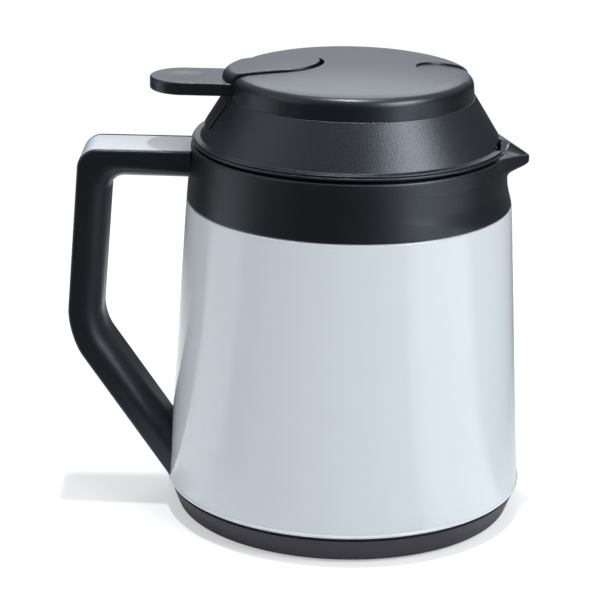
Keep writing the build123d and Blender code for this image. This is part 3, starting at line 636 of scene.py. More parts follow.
# ---------------------------------------------------------------- vessel
def make_shell(size):
    """Gloss-coated outer wall with a beaded lower edge, a flat shoulder and a neck."""
    bm = bmesh.new()
    steel, hem = size.steel, size.hem
    lower = size.foot_height + size.foot_gap
    inside = size.neck_radius - steel
    turn(bm, (
        (size.foot_radius + hem, lower, hem),
        (size.foot_radius + hem, lower + 3 * hem, hem),
        (size.foot_radius - 0.2, lower + 3.4 * hem, 0.2, 3),
        (size.top_radius, size.top_height, size.shoulder_round),
        (size.neck_radius, size.top_height, 1.0),
        (size.neck_radius, size.neck_height - steel),
        (inside, size.neck_height - steel),
        (inside, size.top_height - steel, 0.6),
        (size.top_radius - steel, size.top_height - steel),
        (size.foot_radius - steel, lower, 0.3),
    ))
    finish_piece(bm, "shell", "vessel", "shell_coat", "outer_shell")


# ---------------------------------------------------------------- collar
SPOUT_SIDE = math.radians(60)     # the spout's sides in plan, from its middle line
SPOUT_REACH = math.radians(21)    # how far round from its middle the spout has an effect
HOLLOW_SHIFT = 2.15               # axis of the hollow under it, behind the collar's own
HOLLOW_CURVE = 1.35               # how the hollow runs in below the waist
HOLLOW_LEAN = 0.55                # how far it goes on above the waist
SWEEP = 0.72                      # height of the sweep to the lip for each millimetre outwards
SWEEP_LEAST, SWEEP_MOST = 0.35, 6.4
TIP_EDGE = 0.65                   # round of the rim's outer edge at the spout, in millimetres
SCOOP_LEAN = 1.25                 # how much the trough's wall draws in for each millimetre down
TROUGH_REACH = 9                  # about how far the trough reaches out from the throat
BORE = 51.2                       # opening for the plug
SKIRT = (54.6, 56.6)              # inside and outside of the skirt that holds the neck
INSIDE = 62.0                     # inside of the collar's wall
THROAT_FOOT = 0.5                 # round between the throat's wall and its ledge
UNDER_SHARES = (                  # rows between the waist and the crease, closest at the crease
    0.12, 0.24, 0.36, 0.46, 0.55, 0.63, 0.70, 0.76,
    0.81, 0.855, 0.895, 0.925, 0.95, 0.97, 0.985, 1.0,
)


class CollarForm:
    """Shape of the collar and its spout, as distances from the axis at an angle from the spout."""

    def __init__(self, size, vessel):
        self.size = size
        self.foot_radius = vessel.top_radius
        self.foot_height = vessel.top_height
        self.apex = size.lip_reach + size.lip_round * (1 / math.sin(SPOUT_SIDE) - 1)
        self.crease = size.rim_height - size.crease_drop
        self.waist = size.rim_height - size.waist_drop
        self.ledge = size.rim_height - size.throat_depth
        self.slope = size.lip_drop / (size.lip_reach - size.throat_radius)
        self.mouth = math.sqrt(size.throat_radius**2 - size.trough_half**2)

    def cone(self, z):
        """Plain side of the collar."""
        share = (z - self.foot_height) / (self.size.rim_height - self.foot_height)
        return self.foot_radius + (self.size.rim_radius - self.foot_radius) * share

    def rim(self, angle):
        """Outer edge of the rim in plan, out to the spout's tip."""
        angle = min(abs(angle), math.pi / 2 - SPOUT_SIDE)
        side = self.apex / (math.cos(angle) + math.sin(angle) / math.tan(SPOUT_SIDE))
        middle = self.size.lip_reach - self.size.lip_round
        if side * math.sin(angle) < self.size.lip_round * math.cos(SPOUT_SIDE):
            off = middle * math.sin(angle)
            side = middle * math.cos(angle) + math.sqrt(self.size.lip_round**2 - off**2)
        plain = self.size.rim_radius
        return plain + blend(side - plain, 0.7)

    def top(self, x):
        """Height of the rim, which falls towards the spout's tip."""
        return self.size.rim_height - self.slope * blend(x - self.size.throat_radius, 0.8)

    def floor(self, place):
        """Height of the ledge in the throat, which rises slightly in the trough."""
        if abs(place.y) >= self.size.trough_half + 0.3:
            return self.ledge
        out = max(0, place.x - self.size.throat_radius)
        return self.ledge + 0.1 * min(out, 1) + 0.06 * out

    def side(self, angle, z):
        """Side of the collar, hollowed under the spout."""
        plain = self.cone(z)
        if math.cos(angle) < 0:
            return plain
        foot = self.foot_radius + HOLLOW_SHIFT
        waist = self.cone(self.waist) - self.size.waist_depth + HOLLOW_SHIFT
        if z < self.waist:
            share = (self.waist - z) / (self.waist - self.foot_height)
            hollow = waist + (foot - waist) * share**HOLLOW_CURVE
        else:
            hollow = waist - HOLLOW_LEAN * (z - self.waist) / (self.crease - self.waist)
        off = HOLLOW_SHIFT * math.sin(angle)
        hollow = math.sqrt(hollow**2 - off**2) - HOLLOW_SHIFT * math.cos(angle)
        return plain - blend(plain - hollow, 0.1)

    def under(self, angle, z):
        """Side between the waist and the crease, where it sweeps out under the spout."""
        overhang = self.band(angle, self.crease) - self.side(angle, self.crease)
        height = min(SWEEP_MOST, SWEEP_LEAST + SWEEP * max(0, overhang))
        return self.side(angle, z) + overhang * ease((z - self.crease + height) / height)

    def band(self, angle, z):
        """Side of the rim's band above the crease: upright at the spout, leaning elsewhere."""
        lean = self.cone(z) - self.size.rim_radius
        return self.rim(angle) + lean * ease((abs(angle) - 0.1) / 0.3)

    def edge(self, angle):
        """Round of the rim's outer edge, smaller at the spout."""
        return TIP_EDGE + (self.size.edge - TIP_EDGE) * ease((abs(angle) - 0.3) / 0.35)


def trough_outline(size, form):
    """Inner edge of the rim in plan, from the middle of the spout to where the throat is round."""
    half, mouth = size.trough_half, form.mouth
    inner = form.apex - size.lip_wall / math.sin(SPOUT_SIDE)
    corner = inner - half / math.tan(SPOUT_SIDE)
    path = [Vector((x, y, 0)) for x, y in (
        (inner - 0.75, 0), (inner - 0.45, 0.75),
        (corner + 0.65, half - 1.12), (corner + 0.2, half - 0.42),
        (corner - 0.35, half - 0.06), (corner - 1.0, half),
        (mouth + 0.25, half), (mouth + 0.02, half + 0.12),
    )]
    start = math.asin((half + 0.4) / size.throat_radius)
    steps = 8
    for number in range(steps + 1):
        path.append(polar(start + (SPOUT_REACH - start) * number / steps) * size.throat_radius)
    return path


def along(path, share):
    """Place at a share of a path's length."""
    lengths = [(b - a).length for a, b in zip(path, path[1:])]
    left = share * sum(lengths)
    for start, end, step in zip(path, path[1:], lengths):
        if left <= step:
            return start.lerp(end, left / step)
        left -= step
    return path[-1].copy()


def collar_angles():
    """Angles of the columns on one side, closest together at the spout's tip."""
    degrees = [0.3 * number for number in range(9)]                # the tip
    degrees += [2.4 + 0.6 * number for number in range(1, 32)]     # the rest of the spout
    degrees += [21 + 1.5 * number for number in range(1, 107)]     # the plain collar
    return [math.radians(angle) for angle in degrees]


def throat_line(size, form, half, angles):
    """Inner edge of the rim in plan, one place for each column."""
    outer = [polar(angle) * form.rim(angle) for angle in half if angle <= SPOUT_REACH]
    steps = [0.0]
    for first, second in zip(outer, outer[1:]):
        steps.append(steps[-1] + (second - first).length)
    path = trough_outline(size, form)
    throat = []
    for angle in angles:
        if abs(angle) > SPOUT_REACH:
            throat.append(polar(angle) * size.throat_radius)
        else:
            place = along(path, steps[half.index(abs(angle))] / steps[-1])
            throat.append(Vector((place.x, math.copysign(place.y, angle), 0)))
    return throat


def outer_rows(form, angles):
    """Rows of the collar's outside, from its foot over the rounded edge of the rim."""
    foot = form.foot_height
    rows = [
        [polar(angle, form.side(angle, foot + up) - back, foot + up) for angle in angles]
        for back, up in ((0.9, 0), (0.45, 0.12), (0.14, 0.4), (0.03, 0.7))    # the rounded foot
    ]
    for number in range(10):
        z = foot + 1 + (form.waist - foot - 1) * number / 9
        rows.append([polar(angle, form.side(angle, z), z) for angle in angles])
    for share in UNDER_SHARES:
        z = form.waist + (form.crease - form.waist) * share
        rows.append([polar(angle, form.under(angle, z), z) for angle in angles])
    for share in (0.06, 0.35, 0.65, 1.0):
        row = []
        for angle in angles:
            upper = form.top(form.rim(angle) * math.cos(angle)) - form.edge(angle)
            z = form.crease + (upper - form.crease) * share
            row.append(polar(angle, form.band(angle, z), z))
        rows.append(row)
    for turned in quarter(6, first=1):
        row = []
        for angle in angles:
            radius = form.rim(angle) - form.edge(angle) * (1 - math.cos(turned))
            drop = form.edge(angle) * (1 - math.sin(turned))
            row.append(polar(angle, radius, form.top(radius * math.cos(angle)) - drop))
        rows.append(row)
    return rows


def inner_rows(size, form, angles, throat):
    """Rows from the rim's inner edge down into the throat; in the spout they make a scoop."""
    heart = Vector((form.mouth, 0, 0))

    def row_at(outset, share, sunk, rise, fall):
        """A row moved out, sunk below the rim, and by its fall on the way down to the ledge."""
        row = []
        for angle, place in zip(angles, throat):
            top = form.top(place.x)
            if abs(angle) < SPOUT_REACH and abs(place.y) < size.trough_half + 0.2:
                scoop = ease((place.x - form.mouth - 0.3) / 2)
                drawn = outset - SCOOP_LEAN * scoop * (top - form.floor(place)) * share
                out = heart + (place - heart) * (1 + drawn / TROUGH_REACH)
            else:
                scoop = 0
                out = place + place.normalized() * outset
            upper, lower = top - sunk, form.floor(out) + THROAT_FOOT * (1 - scoop) * rise
            row.append(Vector((out.x, out.y, upper + (lower - upper) * fall)))
        return row

    soft = size.fine_edge
    rows = []
    for turned in quarter(3):
        rows.append(row_at(soft * (1 - math.sin(turned)), 0, soft * (1 - math.cos(turned)), 1, 0))
    for number, turned in enumerate(quarter(7, first=1), start=1):
        rows.append(row_at(0, number / 7, soft, 1, math.sin(turned)))
    for turned in quarter(4, first=1):
        rows.append(row_at(THROAT_FOOT * (math.cos(turned) - 1), 1, soft, 1 - math.sin(turned), 1))
    last = rows[-1]
    bore = [polar(angle, BORE + 0.4, form.ledge) for angle in angles]
    for share in (0.12, 0.3, 0.5, 0.7, 0.88):
        row = [start.lerp(end, share) for start, end in zip(last, bore)]
        for place in row:
            place.z = form.floor(place)
        rows.append(row)
    return rows


def loft(bm, rows):
    """Closed tube through rows of points, each row a ring and the last joined to the first."""
    column = bm.verts.layers.int.new("column")
    ring = bmesh.ops.create_circle(bm, cap_ends=False, radius=1, segments=len(rows[0]))["verts"]
    for number, vert in enumerate(ring):
        vert[column] = number
    edges = bm.edges[:]
    for row in rows:
        for vert in ring:
            vert.co = row[vert[column]]
        made = bmesh.ops.extrude_edge_only(bm, edges=edges)
        ring, edges = made_of(made, bmesh.types.BMVert), made_of(made, bmesh.types.BMEdge)
    for vert in ring:
        vert.co = rows[0][vert[column]]


def make_collar(size, vessel):
    """Black collar over the neck, with the spout and its trough."""
    form = CollarForm(size, vessel)
    half = collar_angles()
    angles = half + [-angle for angle in reversed(half[1:-1])]
    rows = outer_rows(form, angles)
    rows += inner_rows(size, form, angles, throat_line(size, form, half, angles))
    ledge = form.ledge
    skirt, under = ledge - 14, ledge - 2.5
    gasket = vessel.neck_height + 1.2
    hidden = (
        (BORE + 0.4, ledge), (BORE + 0.1, ledge - 0.1), (BORE, ledge - 0.4), (BORE, gasket),
        (SKIRT[0], gasket), (SKIRT[0], skirt), (SKIRT[1], skirt), (SKIRT[1], under),
        (INSIDE, under), (INSIDE + 0.4, form.waist), (form.foot_radius - 2.4, form.foot_height),
    )
    rows += [[polar(angle, radius, z) for angle in angles] for radius, z in hidden]
    bm = bmesh.new()
    loft(bm, rows)
    finish_piece(bm, "collar_and_spout", "vessel", "body_plastic", "collar")


# ---------------------------------------------------------------- handle
ARM_END, TAIL_END = -63.3, -70.9    # where the arm ends in the collar, and the tail in the shell
KNEE = (8, 12)                      # round of the upper corner, and its steps
BEND_ROUND, BEND_STEPS = 33, 16     # round of the lower bend, and its steps
FADE = (-97, -83)                   # stretch of the arm where its lower round becomes half as high


def cross(start, way, other, other_way):
    """Where two lines of the side view meet."""
    gap = other - start
    across = way.x * other_way.y - way.y * other_way.x
    return start + way * ((gap.x * other_way.y - gap.y * other_way.x) / across)


class HandleForm:
    """Side view of the handle: its outer line, moved inwards by an inset."""

    def __init__(self, size, vessel):
        share = (size.tail_height - vessel.foot_height) / (vessel.top_height - vessel.foot_height)
        shell = vessel.foot_radius + (vessel.top_radius - vessel.foot_radius) * share
        self.top = Vector((-size.grip_reach, size.arm_top))
        self.bend = Vector((-size.bend_reach, size.bend_height))
        self.tail = Vector((-shell, size.tail_height))

    def lines(self, inset):
        """A point and the way of the grip, their meeting, and a point and the way of the tail."""
        grip = (self.bend - self.top).normalized()
        tail = (self.tail - self.bend).normalized()
        grip_start = self.top + Vector((-grip.y, grip.x)) * inset
        tail_start = self.bend + Vector((-tail.y, tail.x)) * inset
        return grip_start, grip, cross(grip_start, grip, tail_start, tail), tail_start, tail

    def at_height(self, inset, z):
        """Where the grip's line is at a height."""
        return cross(*self.lines(inset)[:2], Vector((0, z)), Vector((1, 0)))

    def at_shell(self, inset):
        """Where the tail's line ends in the shell."""
        return cross(*self.lines(inset)[3:], Vector((TAIL_END, 0)), Vector((0, 1)))


def is_round(face):
    """Whether a face goes round the handle, and isn't one of its two flat sides."""
    return abs(face.normal.y) < 0.01


def looks_out(face):
    """Whether a face of the handle looks away from the vessel or up."""
    return face.normal.x < -0.3 or (face.normal.z > 0.5 and face.normal.x < 0.3)


def is_rim(edge, half):
    """Whether an edge is one of the handle's long ones, outside the shell."""
    ends = edge.verts
    return (
        abs(ends[0].co.y - ends[1].co.y) < NEAR and abs(abs(ends[0].co.y) - half) < NEAR
        and not all(vert.co.x > TAIL_END - NEAR for vert in ends)
    )


def in_recess(face, arm_under):
    """Whether a face lies where the strip goes, over the arm and down the grip."""
    normal, place = face.normal, centre(face)
    return (place.z > arm_under or normal.x < -0.9) and (place.x < -60 or normal.z > 0.9)


def make_handle(size, form):
    """Black handle in one moulding, with the recess for the strip."""
    arm_under = size.arm_top - size.arm_thickness
    half = size.width / 2
    bm = bmesh.new()
    slab(bm, (
        (ARM_END, size.arm_top),
        (*form.top, *KNEE),
        (*form.bend, BEND_ROUND, BEND_STEPS),
        form.at_shell(0),
        form.at_shell(size.thickness),
        (*form.lines(size.thickness)[2], BEND_ROUND - size.thickness, BEND_STEPS),
        (*form.at_height(size.thickness, arm_under), 6, 10),
        (ARM_END, arm_under),
    ), half)
    for outward, radius, segments in ((True, size.edge, 6), (False, size.grip_round, 12)):
        rims = [
            edge for edge in bm.edges if is_rim(edge, half)
            and any(is_round(face) and looks_out(face) == outward for face in edge.link_faces)
        ]
        soften(bm, rims, radius, segments)
    for vert in bm.verts:
        rise = vert.co.z - arm_under
        if 0 < rise < size.grip_round + NEAR:
            vert.co.z -= 0.5 * rise * ease((vert.co.x - FADE[0]) / (FADE[1] - FADE[0]))
    outside = [
        face for face in bm.faces
        if is_round(face) and centre(face).z > size.strip_end - 40
        and face.normal.z > -0.2 and (face.normal.x < -0.5 or face.normal.z > 0.5)
    ]
    above = score(bm, outside, (0, 0, size.strip_end), (0, 0, -1))
    bmesh.ops.inset_region(
        bm, faces=[face for face in above if in_recess(face, arm_under)], thickness=0,
        depth=-(size.strip_thickness + 0.05), use_even_offset=True, use_boundary=True,
    )
    finish_piece(bm, "handle", "vessel", "body_plastic", "handle_core")


def make_inlay(size, form):
    """White strip in the handle's recess."""
    thick = size.strip_thickness
    lower = size.arm_top - thick
    bm = bmesh.new()
    slab(bm, (
        (ARM_END, size.arm_top),
        (*form.top, *KNEE),
        form.at_height(0, size.strip_end),
        form.at_height(thick, size.strip_end),
        (*form.at_height(thick, lower), KNEE[0] - thick, KNEE[1]),
        (ARM_END, lower),
    ), size.strip_width / 2)
    outer = []
    for edge in bm.edges:
        normals = [face.normal for face in edge.link_faces]
        seen = any(normal.z > 0.9 or normal.x < -0.1 < normal.z for normal in normals)
        if seen and any(abs(normal.y) > 0.95 for normal in normals):
            outer.append(edge)
    soften(bm, outer, size.strip_edge, 3)
    finish_piece(bm, "handle_inlay", "vessel", "strip_plastic", "handle_strip")


# ---------------------------------------------------------------- lid
SPOUT_GAP = (math.radians(17.7), math.radians(24))    # near and far side of the spout
GAP_EDGES = (-SPOUT_GAP[0], -SPOUT_GAP[0] - 0.004, SPOUT_GAP[1], SPOUT_GAP[1] + 0.004)
LID_WALL = 2.2                   # thickness of the lid's walls
FLANGE, BRIM = 1.0, 0.9          # thickness of the lower flange and of the upper brim
PLUG_STEP = 149.0                # where the plug widens into the upper wall
STEM_RADIUS = 11                 # opening for the valve in the plug's floor
GUIDE = 58.9                     # inside of the cone at its foot
BACK, FRONT = -30, 40            # places beyond these are at the lever or at the spout
FLANK_LOW = 161.3                # lower end of the raised pad on the cone
FLANK_EDGE = 1.0                 # round of that pad's sides
POCKET_BAND, DENT_BAND = 0.45, 0.36    # width of the edges of the tongue's pocket and of the dent
WINDOW = -36.6                   # front of the opening under the knuckle


def set_radius(vert, radius):
    """Moves a vertex straight towards or away from the axis."""
    now = math.hypot(vert.co.x, vert.co.y)
    vert.co.x *= radius / now
    vert.co.y *= radius / now


def score_sector(bm, angles, wanted):
    """Cuts the wanted faces along planes through the axis at angles from the spout."""
    for angle in angles:
        score(bm, pick(bm, wanted), (0, 0, 0), (-math.sin(angle), math.cos(angle), 0))


def in_spout_gap(place, extra=0.001):
    """Whether a place lies where the lid's brims are left open over the spout."""
    return -SPOUT_GAP[0] - extra < polar_angle(place) < SPOUT_GAP[1] + extra


def make_plug(size):
    """Lower half of the lid: plug, upper wall with the pouring port, and flange."""
    bm = bmesh.new()
    plug, wall, flange = size.plug_radius, size.wall_radius, size.flange_radius
    floor = size.plug_floor + 2.4
    ledge, sill = floor + 1.2, PLUG_STEP + 2
    groove = PLUG_STEP - 12
    brim = size.flange_height + FLANGE
    turn(bm, (
        (STEM_RADIUS, size.plug_floor, 0.4, 3),
        (plug, size.plug_floor, 2),
        (plug, groove),
        (plug - 1, groove),
        (plug - 1, groove + 3),
        (plug, groove + 3),
        (plug, PLUG_STEP, 0.5, 3),
        (wall, PLUG_STEP, 1, 5),
        (wall, size.flange_height),
        (flange, size.flange_height, size.edge, 4),
        (flange, brim, size.edge, 4),
        (wall - LID_WALL, brim),
        (wall - LID_WALL, sill),
        (plug - LID_WALL, sill, 0.5, 3),
        (plug - LID_WALL, floor, 2, 5),
        (STEM_RADIUS + 1.8, floor, 0.5, 3),
        (STEM_RADIUS + 1.8, ledge, 0.3, 3),
        (STEM_RADIUS, ledge, 0.3, 3),
    ))
    port = math.asin(13 / wall)
    above = PLUG_STEP + 0.5
    score_sector(
        bm, (*GAP_EDGES, port, port + 0.003, -port, -port - 0.003),
        lambda place: place.x > FRONT and place.z > above,
    )
    for vert in bm.verts:
        if vert.co.z < above or vert.co.x < FRONT:
            continue
        away = abs(polar_angle(vert.co))
        if in_spout_gap(vert.co) and math.hypot(vert.co.x, vert.co.y) > wall:
            set_radius(vert, wall)
        if away < port + 0.001 and vert.co.z > sill:
            vert.co.z = sill
    finish_piece(bm, "lid_plug", "lid", "lid_plastic", "lid_base")


def open_brim(bm, foot, surface):
    """Leaves out the upper brim over the spout: it draws back into the cone's side."""
    lift = foot + 1.3
    score_sector(bm, GAP_EDGES, lambda place: (
        place.x > FRONT and place.z < lift + 0.2 and math.hypot(place.x, place.y) > GUIDE - 0.3
    ))
    for z in (lift, lift + 0.15):
        near = [
            face for face in bm.faces
            if centre(face).x > -BACK and face.normal.dot(centre(face)) > 0
            and math.hypot(*centre(face).xy) > GUIDE - 9
            and in_spout_gap(centre(face), 0.01) and centre(face).z > foot + 2
        ]
        score(bm, near, (0, 0, z), (0, 0, -1))
    for vert in bm.verts:
        radius = math.hypot(vert.co.x, vert.co.y)
        if not in_spout_gap(vert.co) or vert.co.x < FRONT or vert.co.z > lift - 0.01:
            continue
        if radius > GUIDE + 0.05:
            set_radius(vert, min(radius, surface(lift)))
            vert.co.z = lift


def shape_back(bm, size, lever, foot, surface):
    """Raises the pad under the lever on the cone's back, and sinks the notch for the lever."""
    half = lever.width / 2
    sill = size.cone_height - 1.2
    edges = [half - FLANK_EDGE * (1 - math.sin(turned)) for turned in quarter(6)]
    for edge in (*edges, half + 0.06, half + lever.gap, half + lever.gap + 0.05):
        for way in (-1, 1):
            score(bm, pick(bm, lambda place: place.x < BACK), (0, way * edge, 0), (0, way, 0))
    for z in (FLANK_LOW - 0.3, FLANK_LOW, sill):
        outside = [
            face for face in bm.faces
            if centre(face).x < BACK and face.normal.dot(centre(face)) > 0
            and foot + 1 < centre(face).z < size.cone_height + 4
        ]
        score(bm, outside, (0, 0, z), (0, 0, 1))
    for vert in bm.verts:
        if vert.co.x > BACK:
            continue
        radius = math.hypot(vert.co.x, vert.co.y)
        beside = abs(vert.co.y) - half
        low_enough = FLANK_LOW - 0.31 < vert.co.z < size.cone_height + 0.1
        if beside < 0.01 and low_enough and abs(radius - surface(vert.co.z)) < 0.15:
            left = FLANK_EDGE - min(FLANK_EDGE, max(0, -beside))
            rise = lever.flank_pad - FLANK_EDGE + math.sqrt(FLANK_EDGE**2 - left**2)
            set_radius(vert, radius + rise * ease((vert.co.z - FLANK_LOW + 0.3) / 0.3))
        if beside < lever.gap + 0.01 and vert.co.z > sill:
            vert.co.z = sill


def make_cone(size, lever):
    """Outer cone of the lid, with its brim, and with the raised pad and the notch at the lever."""
    bm = bmesh.new()
    top = size.cone_height
    brim = size.flange_height + FLANGE
    foot = brim + BRIM
    ledge = brim + 1.6
    spigot = size.cover_radius - LID_WALL - 0.15
    turn(bm, (
        (GUIDE, brim),
        (size.brim_radius, brim, size.edge, 4),
        (size.brim_radius, foot, size.edge, 4),
        (size.cone_foot, foot, 0.5, 4),
        (size.cone_top, top, 0.5, 4),
        (spigot, top),
        (spigot, top + 3),
        (spigot - 1.8, top + 3),
        (spigot - 1.8, top - 1.8),
        (size.cone_top - 1.5, top - 1.8),
        (size.cone_foot - 3.03, ledge),
        (GUIDE, ledge),
    ))

    def surface(z):
        """Radius of the cone's outside at a height."""
        return size.cone_foot - (size.cone_foot - size.cone_top) * (z - foot) / (top - foot)

    open_brim(bm, foot, surface)
    shape_back(bm, size, lever, foot, surface)
    for way in (-1, 1):
        add_box(bm, (6, 2.8, 10), (-40.4, way * (lever.width / 2 + lever.gap + 1.5), 172.2))
    finish_piece(bm, "lid_flank", "lid", "lid_plastic", "lid_cone")


def dome(size, x, y):
    """Height of the domed top."""
    radius = (size.cover_radius**2 + size.dome_rise**2) / (2 * size.dome_rise)
    return size.dome_height - radius + math.sqrt(radius**2 - x * x - y * y)


def sunk_edge(share):
    """Depth across the edge of a hollow: rounded above, steep below."""
    if share <= 0 or share >= 1:
        return float(share >= 1)
    return 1 - math.sqrt(1 - share * share) if share < 0.7 else 0.29 + (share - 0.7) / 0.3 * 0.71


def make_cover(size, lever):
    """Domed top of the lid, with the tongue's pocket and window and the finger dent."""
    bm = bmesh.new()
    edge_height = size.dome_height - size.dome_rise
    side = size.cover_radius - 0.6
    draw(bm, (
        (0, size.dome_height),
        (side, edge_height, size.cover_edge, 12),
        (size.cover_radius, size.cone_height),
    ), closed=False)
    flat = [edge for edge in bm.edges if min(vert.co.x for vert in edge.verts) < 1]
    bmesh.ops.subdivide_edges(bm, edges=flat, cuts=21)
    skirt = [edge for edge in bm.edges if max(vert.co.z for vert in edge.verts) < edge_height - 2]
    bmesh.ops.subdivide_edges(bm, edges=skirt, cuts=2)
    for vert in bm.verts:
        if vert.co.z > edge_height:
            line = size.dome_height - size.dome_rise * vert.co.x / side
            vert.co.z += (dome(size, vert.co.x, 0) - line) * ease((side - 2.5 - vert.co.x) / 2)
    spin_round(bm)

    half = lever.width / 2 + lever.gap
    pocket = (lever.tip_gap - lever.tip, half, 1)
    dent = (size.dent_tip, size.dent_half, -1)
    for (tip, width, way), band in ((pocket, POCKET_BAND), (dent, DENT_BAND)):
        for outset in (band, band * 0.66, band * 0.33, 0):
            faces = pick(bm, lambda place: place.x * way < 12)
            for point, normal in tongue_lines(tip + way * outset, width + outset, way):
                faces = score(bm, faces, point, normal)
    beside = pick(bm, lambda place: place.x < WINDOW + 8 and abs(place.y) < half + 1)
    score(bm, beside, (WINDOW, 0, 0), (1, 0, 0))
    hole = pick(bm, lambda place: place.x < WINDOW and abs(place.y) < half)
    bmesh.ops.delete(bm, geom=hole, context="FACES")
    for vert in bm.verts:
        x, y = vert.co.x, vert.co.y
        if x < 0:
            depth = lever.sink + 0.4 + 1.6 * ease((x + 26) / 8)
            vert.co.z -= depth * sunk_edge(1 - tongue_distance(x, y, *pocket) / POCKET_BAND)
        else:
            depth = size.dent_depth * ease((vert.co.z - size.cone_height) / 6)
            vert.co.z -= depth * sunk_edge(1 - tongue_distance(x, y, *dent) / DENT_BAND)
    finish_piece(
        bm, "lid_top", "lid", "lid_plastic", "lid_cover", wall=size.cover_wall, finish="lid_cover",
    )


# ---------------------------------------------------------------- lever
PAD_ROOT = -46                  # inner end of the thumb pad, inside the knuckle
DISH_RINGS, DISH_SIDES = 8, 48
FORK_HEIGHT, FORK_HALF = 173.2, 5.9    # the fork's prongs above the ground, and off the middle


def prism(bm, radius, middle, lines, low, high):
    """Upright prism: a round plan about a middle, trimmed by lines, raised between two heights."""
    bmesh.ops.create_circle(bm, cap_ends=True, radius=radius, segments=STEPS)
    bmesh.ops.translate(bm, verts=bm.verts[:], vec=(middle, 0, 0))
    for point, normal in lines:
        trim(bm, point, normal)
    bmesh.ops.translate(bm, verts=bm.verts[:], vec=(0, 0, low))
    thicken(bm, (0, 0, high - low))


def make_pad(size, half):
    """Thumb pad with rounded edges and a shallow dish."""
    bm = bmesh.new()
    lines = tongue_lines(-size.reach, half, -1) + [(Vector((PAD_ROOT, 0, 0)), Vector((1, 0, 0)))]
    prism(bm, 100, 0, lines, size.pad_top - size.pad_thickness, size.pad_top)
    rims = [
        edge for edge in bm.edges
        if edge.calc_face_angle(0) > 1 and abs(edge.verts[0].co.z - edge.verts[1].co.z) < NEAR
        and min(vert.co.x for vert in edge.verts) < PAD_ROOT - 0.01
    ]
    soften(bm, rims, size.pad_edge, 5)
    middle = half - size.reach
    top = size.pad_top - NEAR
    inside = [face for face in bm.faces if face.normal.z > 0.99 and centre(face).z > top]
    for number in range(DISH_RINGS + 1):
        radius = size.dish_radius * (1 - number / (DISH_RINGS + 1)) + (0.5 if number == 0 else 0)
        for step in range(DISH_SIDES):
            normal = polar(FULL_TURN * step / DISH_SIDES)
            inside = score(bm, inside, Vector((middle, 0, 0)) + normal * radius, normal)
    for vert in bm.verts:
        away = math.hypot(vert.co.x - middle, vert.co.y) / size.dish_radius
        if vert.co.z > top and away < 1:
            vert.co.z -= size.dish_depth * (1 - away * away)
    return bm


def make_tongue(size, lid, half):
    """Tongue in the dome, and the knuckle that bends down over the cover's edge."""
    bm = bmesh.new()
    front = lid.cover_radius + size.knuckle
    bow = size.knuckle_bow
    middle = bow - front
    prism(bm, bow, middle, tongue_lines(-size.tip, half, 1), -size.sink, size.proud)

    def on_bow(vert):
        return vert.co.z > 0 and abs(math.hypot(vert.co.x - middle, vert.co.y) - bow) < 0.01

    shoulder = [edge for edge in bm.edges if all(on_bow(vert) for vert in edge.verts)]
    for vert in bm.verts:
        if vert.co.z < 0 and vert.co.x < -45:
            vert.co.z = size.pad_top - 1.0 - dome(lid, *vert.co.xy)
    soften(bm, shoulder, size.knuckle_round * 0.75, 8)
    rims = [
        edge for edge in bm.edges
        if edge.calc_face_angle(0) > 0.6 and min(vert.co.z for vert in edge.verts) > -2.5
        and any(abs(vert.co.z - size.proud) < 1.2 for vert in edge.verts)
        and any(face.normal.z > 0.2 for face in edge.link_faces)
    ]
    soften(bm, rims, size.tongue_edge, 3)
    for number in range(1, 24):
        score(bm, bm.faces[:], (-front + number * (front - size.tip) / 24, 0, 0), (1, 0, 0))
    for number in range(-5, 6):
        score(bm, bm.faces[:], (0, number * half / 6, 0), (0, 1, 0))
    for vert in bm.verts:
        vert.co.z += dome(lid, vert.co.x, vert.co.y)
    return bm


def make_fork(width):
    """Root of the lever under the cover, and the fork that works the valve."""
    bm = bmesh.new()
    add_box(bm, (9.5, width - 0.02, 9.5), (-41.75, 0, 176.95))
    for y in (-FORK_HALF, FORK_HALF):
        add_box(bm, (38, 3.6, 4.3), (-19, y, FORK_HEIGHT))
        knob = bmesh.ops.create_cone(
            bm, cap_ends=True, segments=32, radius1=2.2, radius2=2.2, depth=3.6,
        )["verts"]
        tip_over(bm, knob)
        bmesh.ops.translate(bm, vec=(0, y, FORK_HEIGHT), verts=knob)
    return bm


def make_lever(size, lid):
    """Thumb pad, knuckle and tongue, with the root and the fork inside the lid."""
    half = size.width / 2
    bm = make_pad(size, half)
    for part in (make_tongue(size, lid, half), make_fork(size.width)):
        mesh = mesh_of(part, "joined")
        bm.from_mesh(mesh)
        bpy.data.meshes.remove(mesh)
    finish_piece(bm, "lever", "lever", "lid_plastic", "thumb_lever", finish="lid_cover")


def make_spring(size):
    """Valve spring: a coil of wire between its lowest and highest places."""
    low, high = (corner[2] for corner in box_mm("valve_spring"))
    low, high = low + size.spring_wire, high - size.spring_wire
    steps = COIL_STEPS * COILS
    bm = bmesh.new()
    wire = bmesh.ops.create_circle(bm, segments=10, radius=size.spring_wire)["verts"]
    tip_over(bm, wire)
    bmesh.ops.translate(bm, vec=(size.spring_radius, 0, low), verts=wire)
    bmesh.ops.spin(
        bm, geom=bm.verts[:] + bm.edges[:], cent=(0, 0, 0), axis=(0, 0, 1),
        dvec=(0, 0, (high - low) / steps), angle=FULL_TURN * COILS, steps=steps, use_merge=False,
    )
    bmesh.ops.holes_fill(bm, edges=[edge for edge in bm.edges if edge.is_boundary])
    finish_piece(
        bm, "valve_coil", "valve", "bare_steel", "valve_spring", stretch=("lid", low, high),
    )


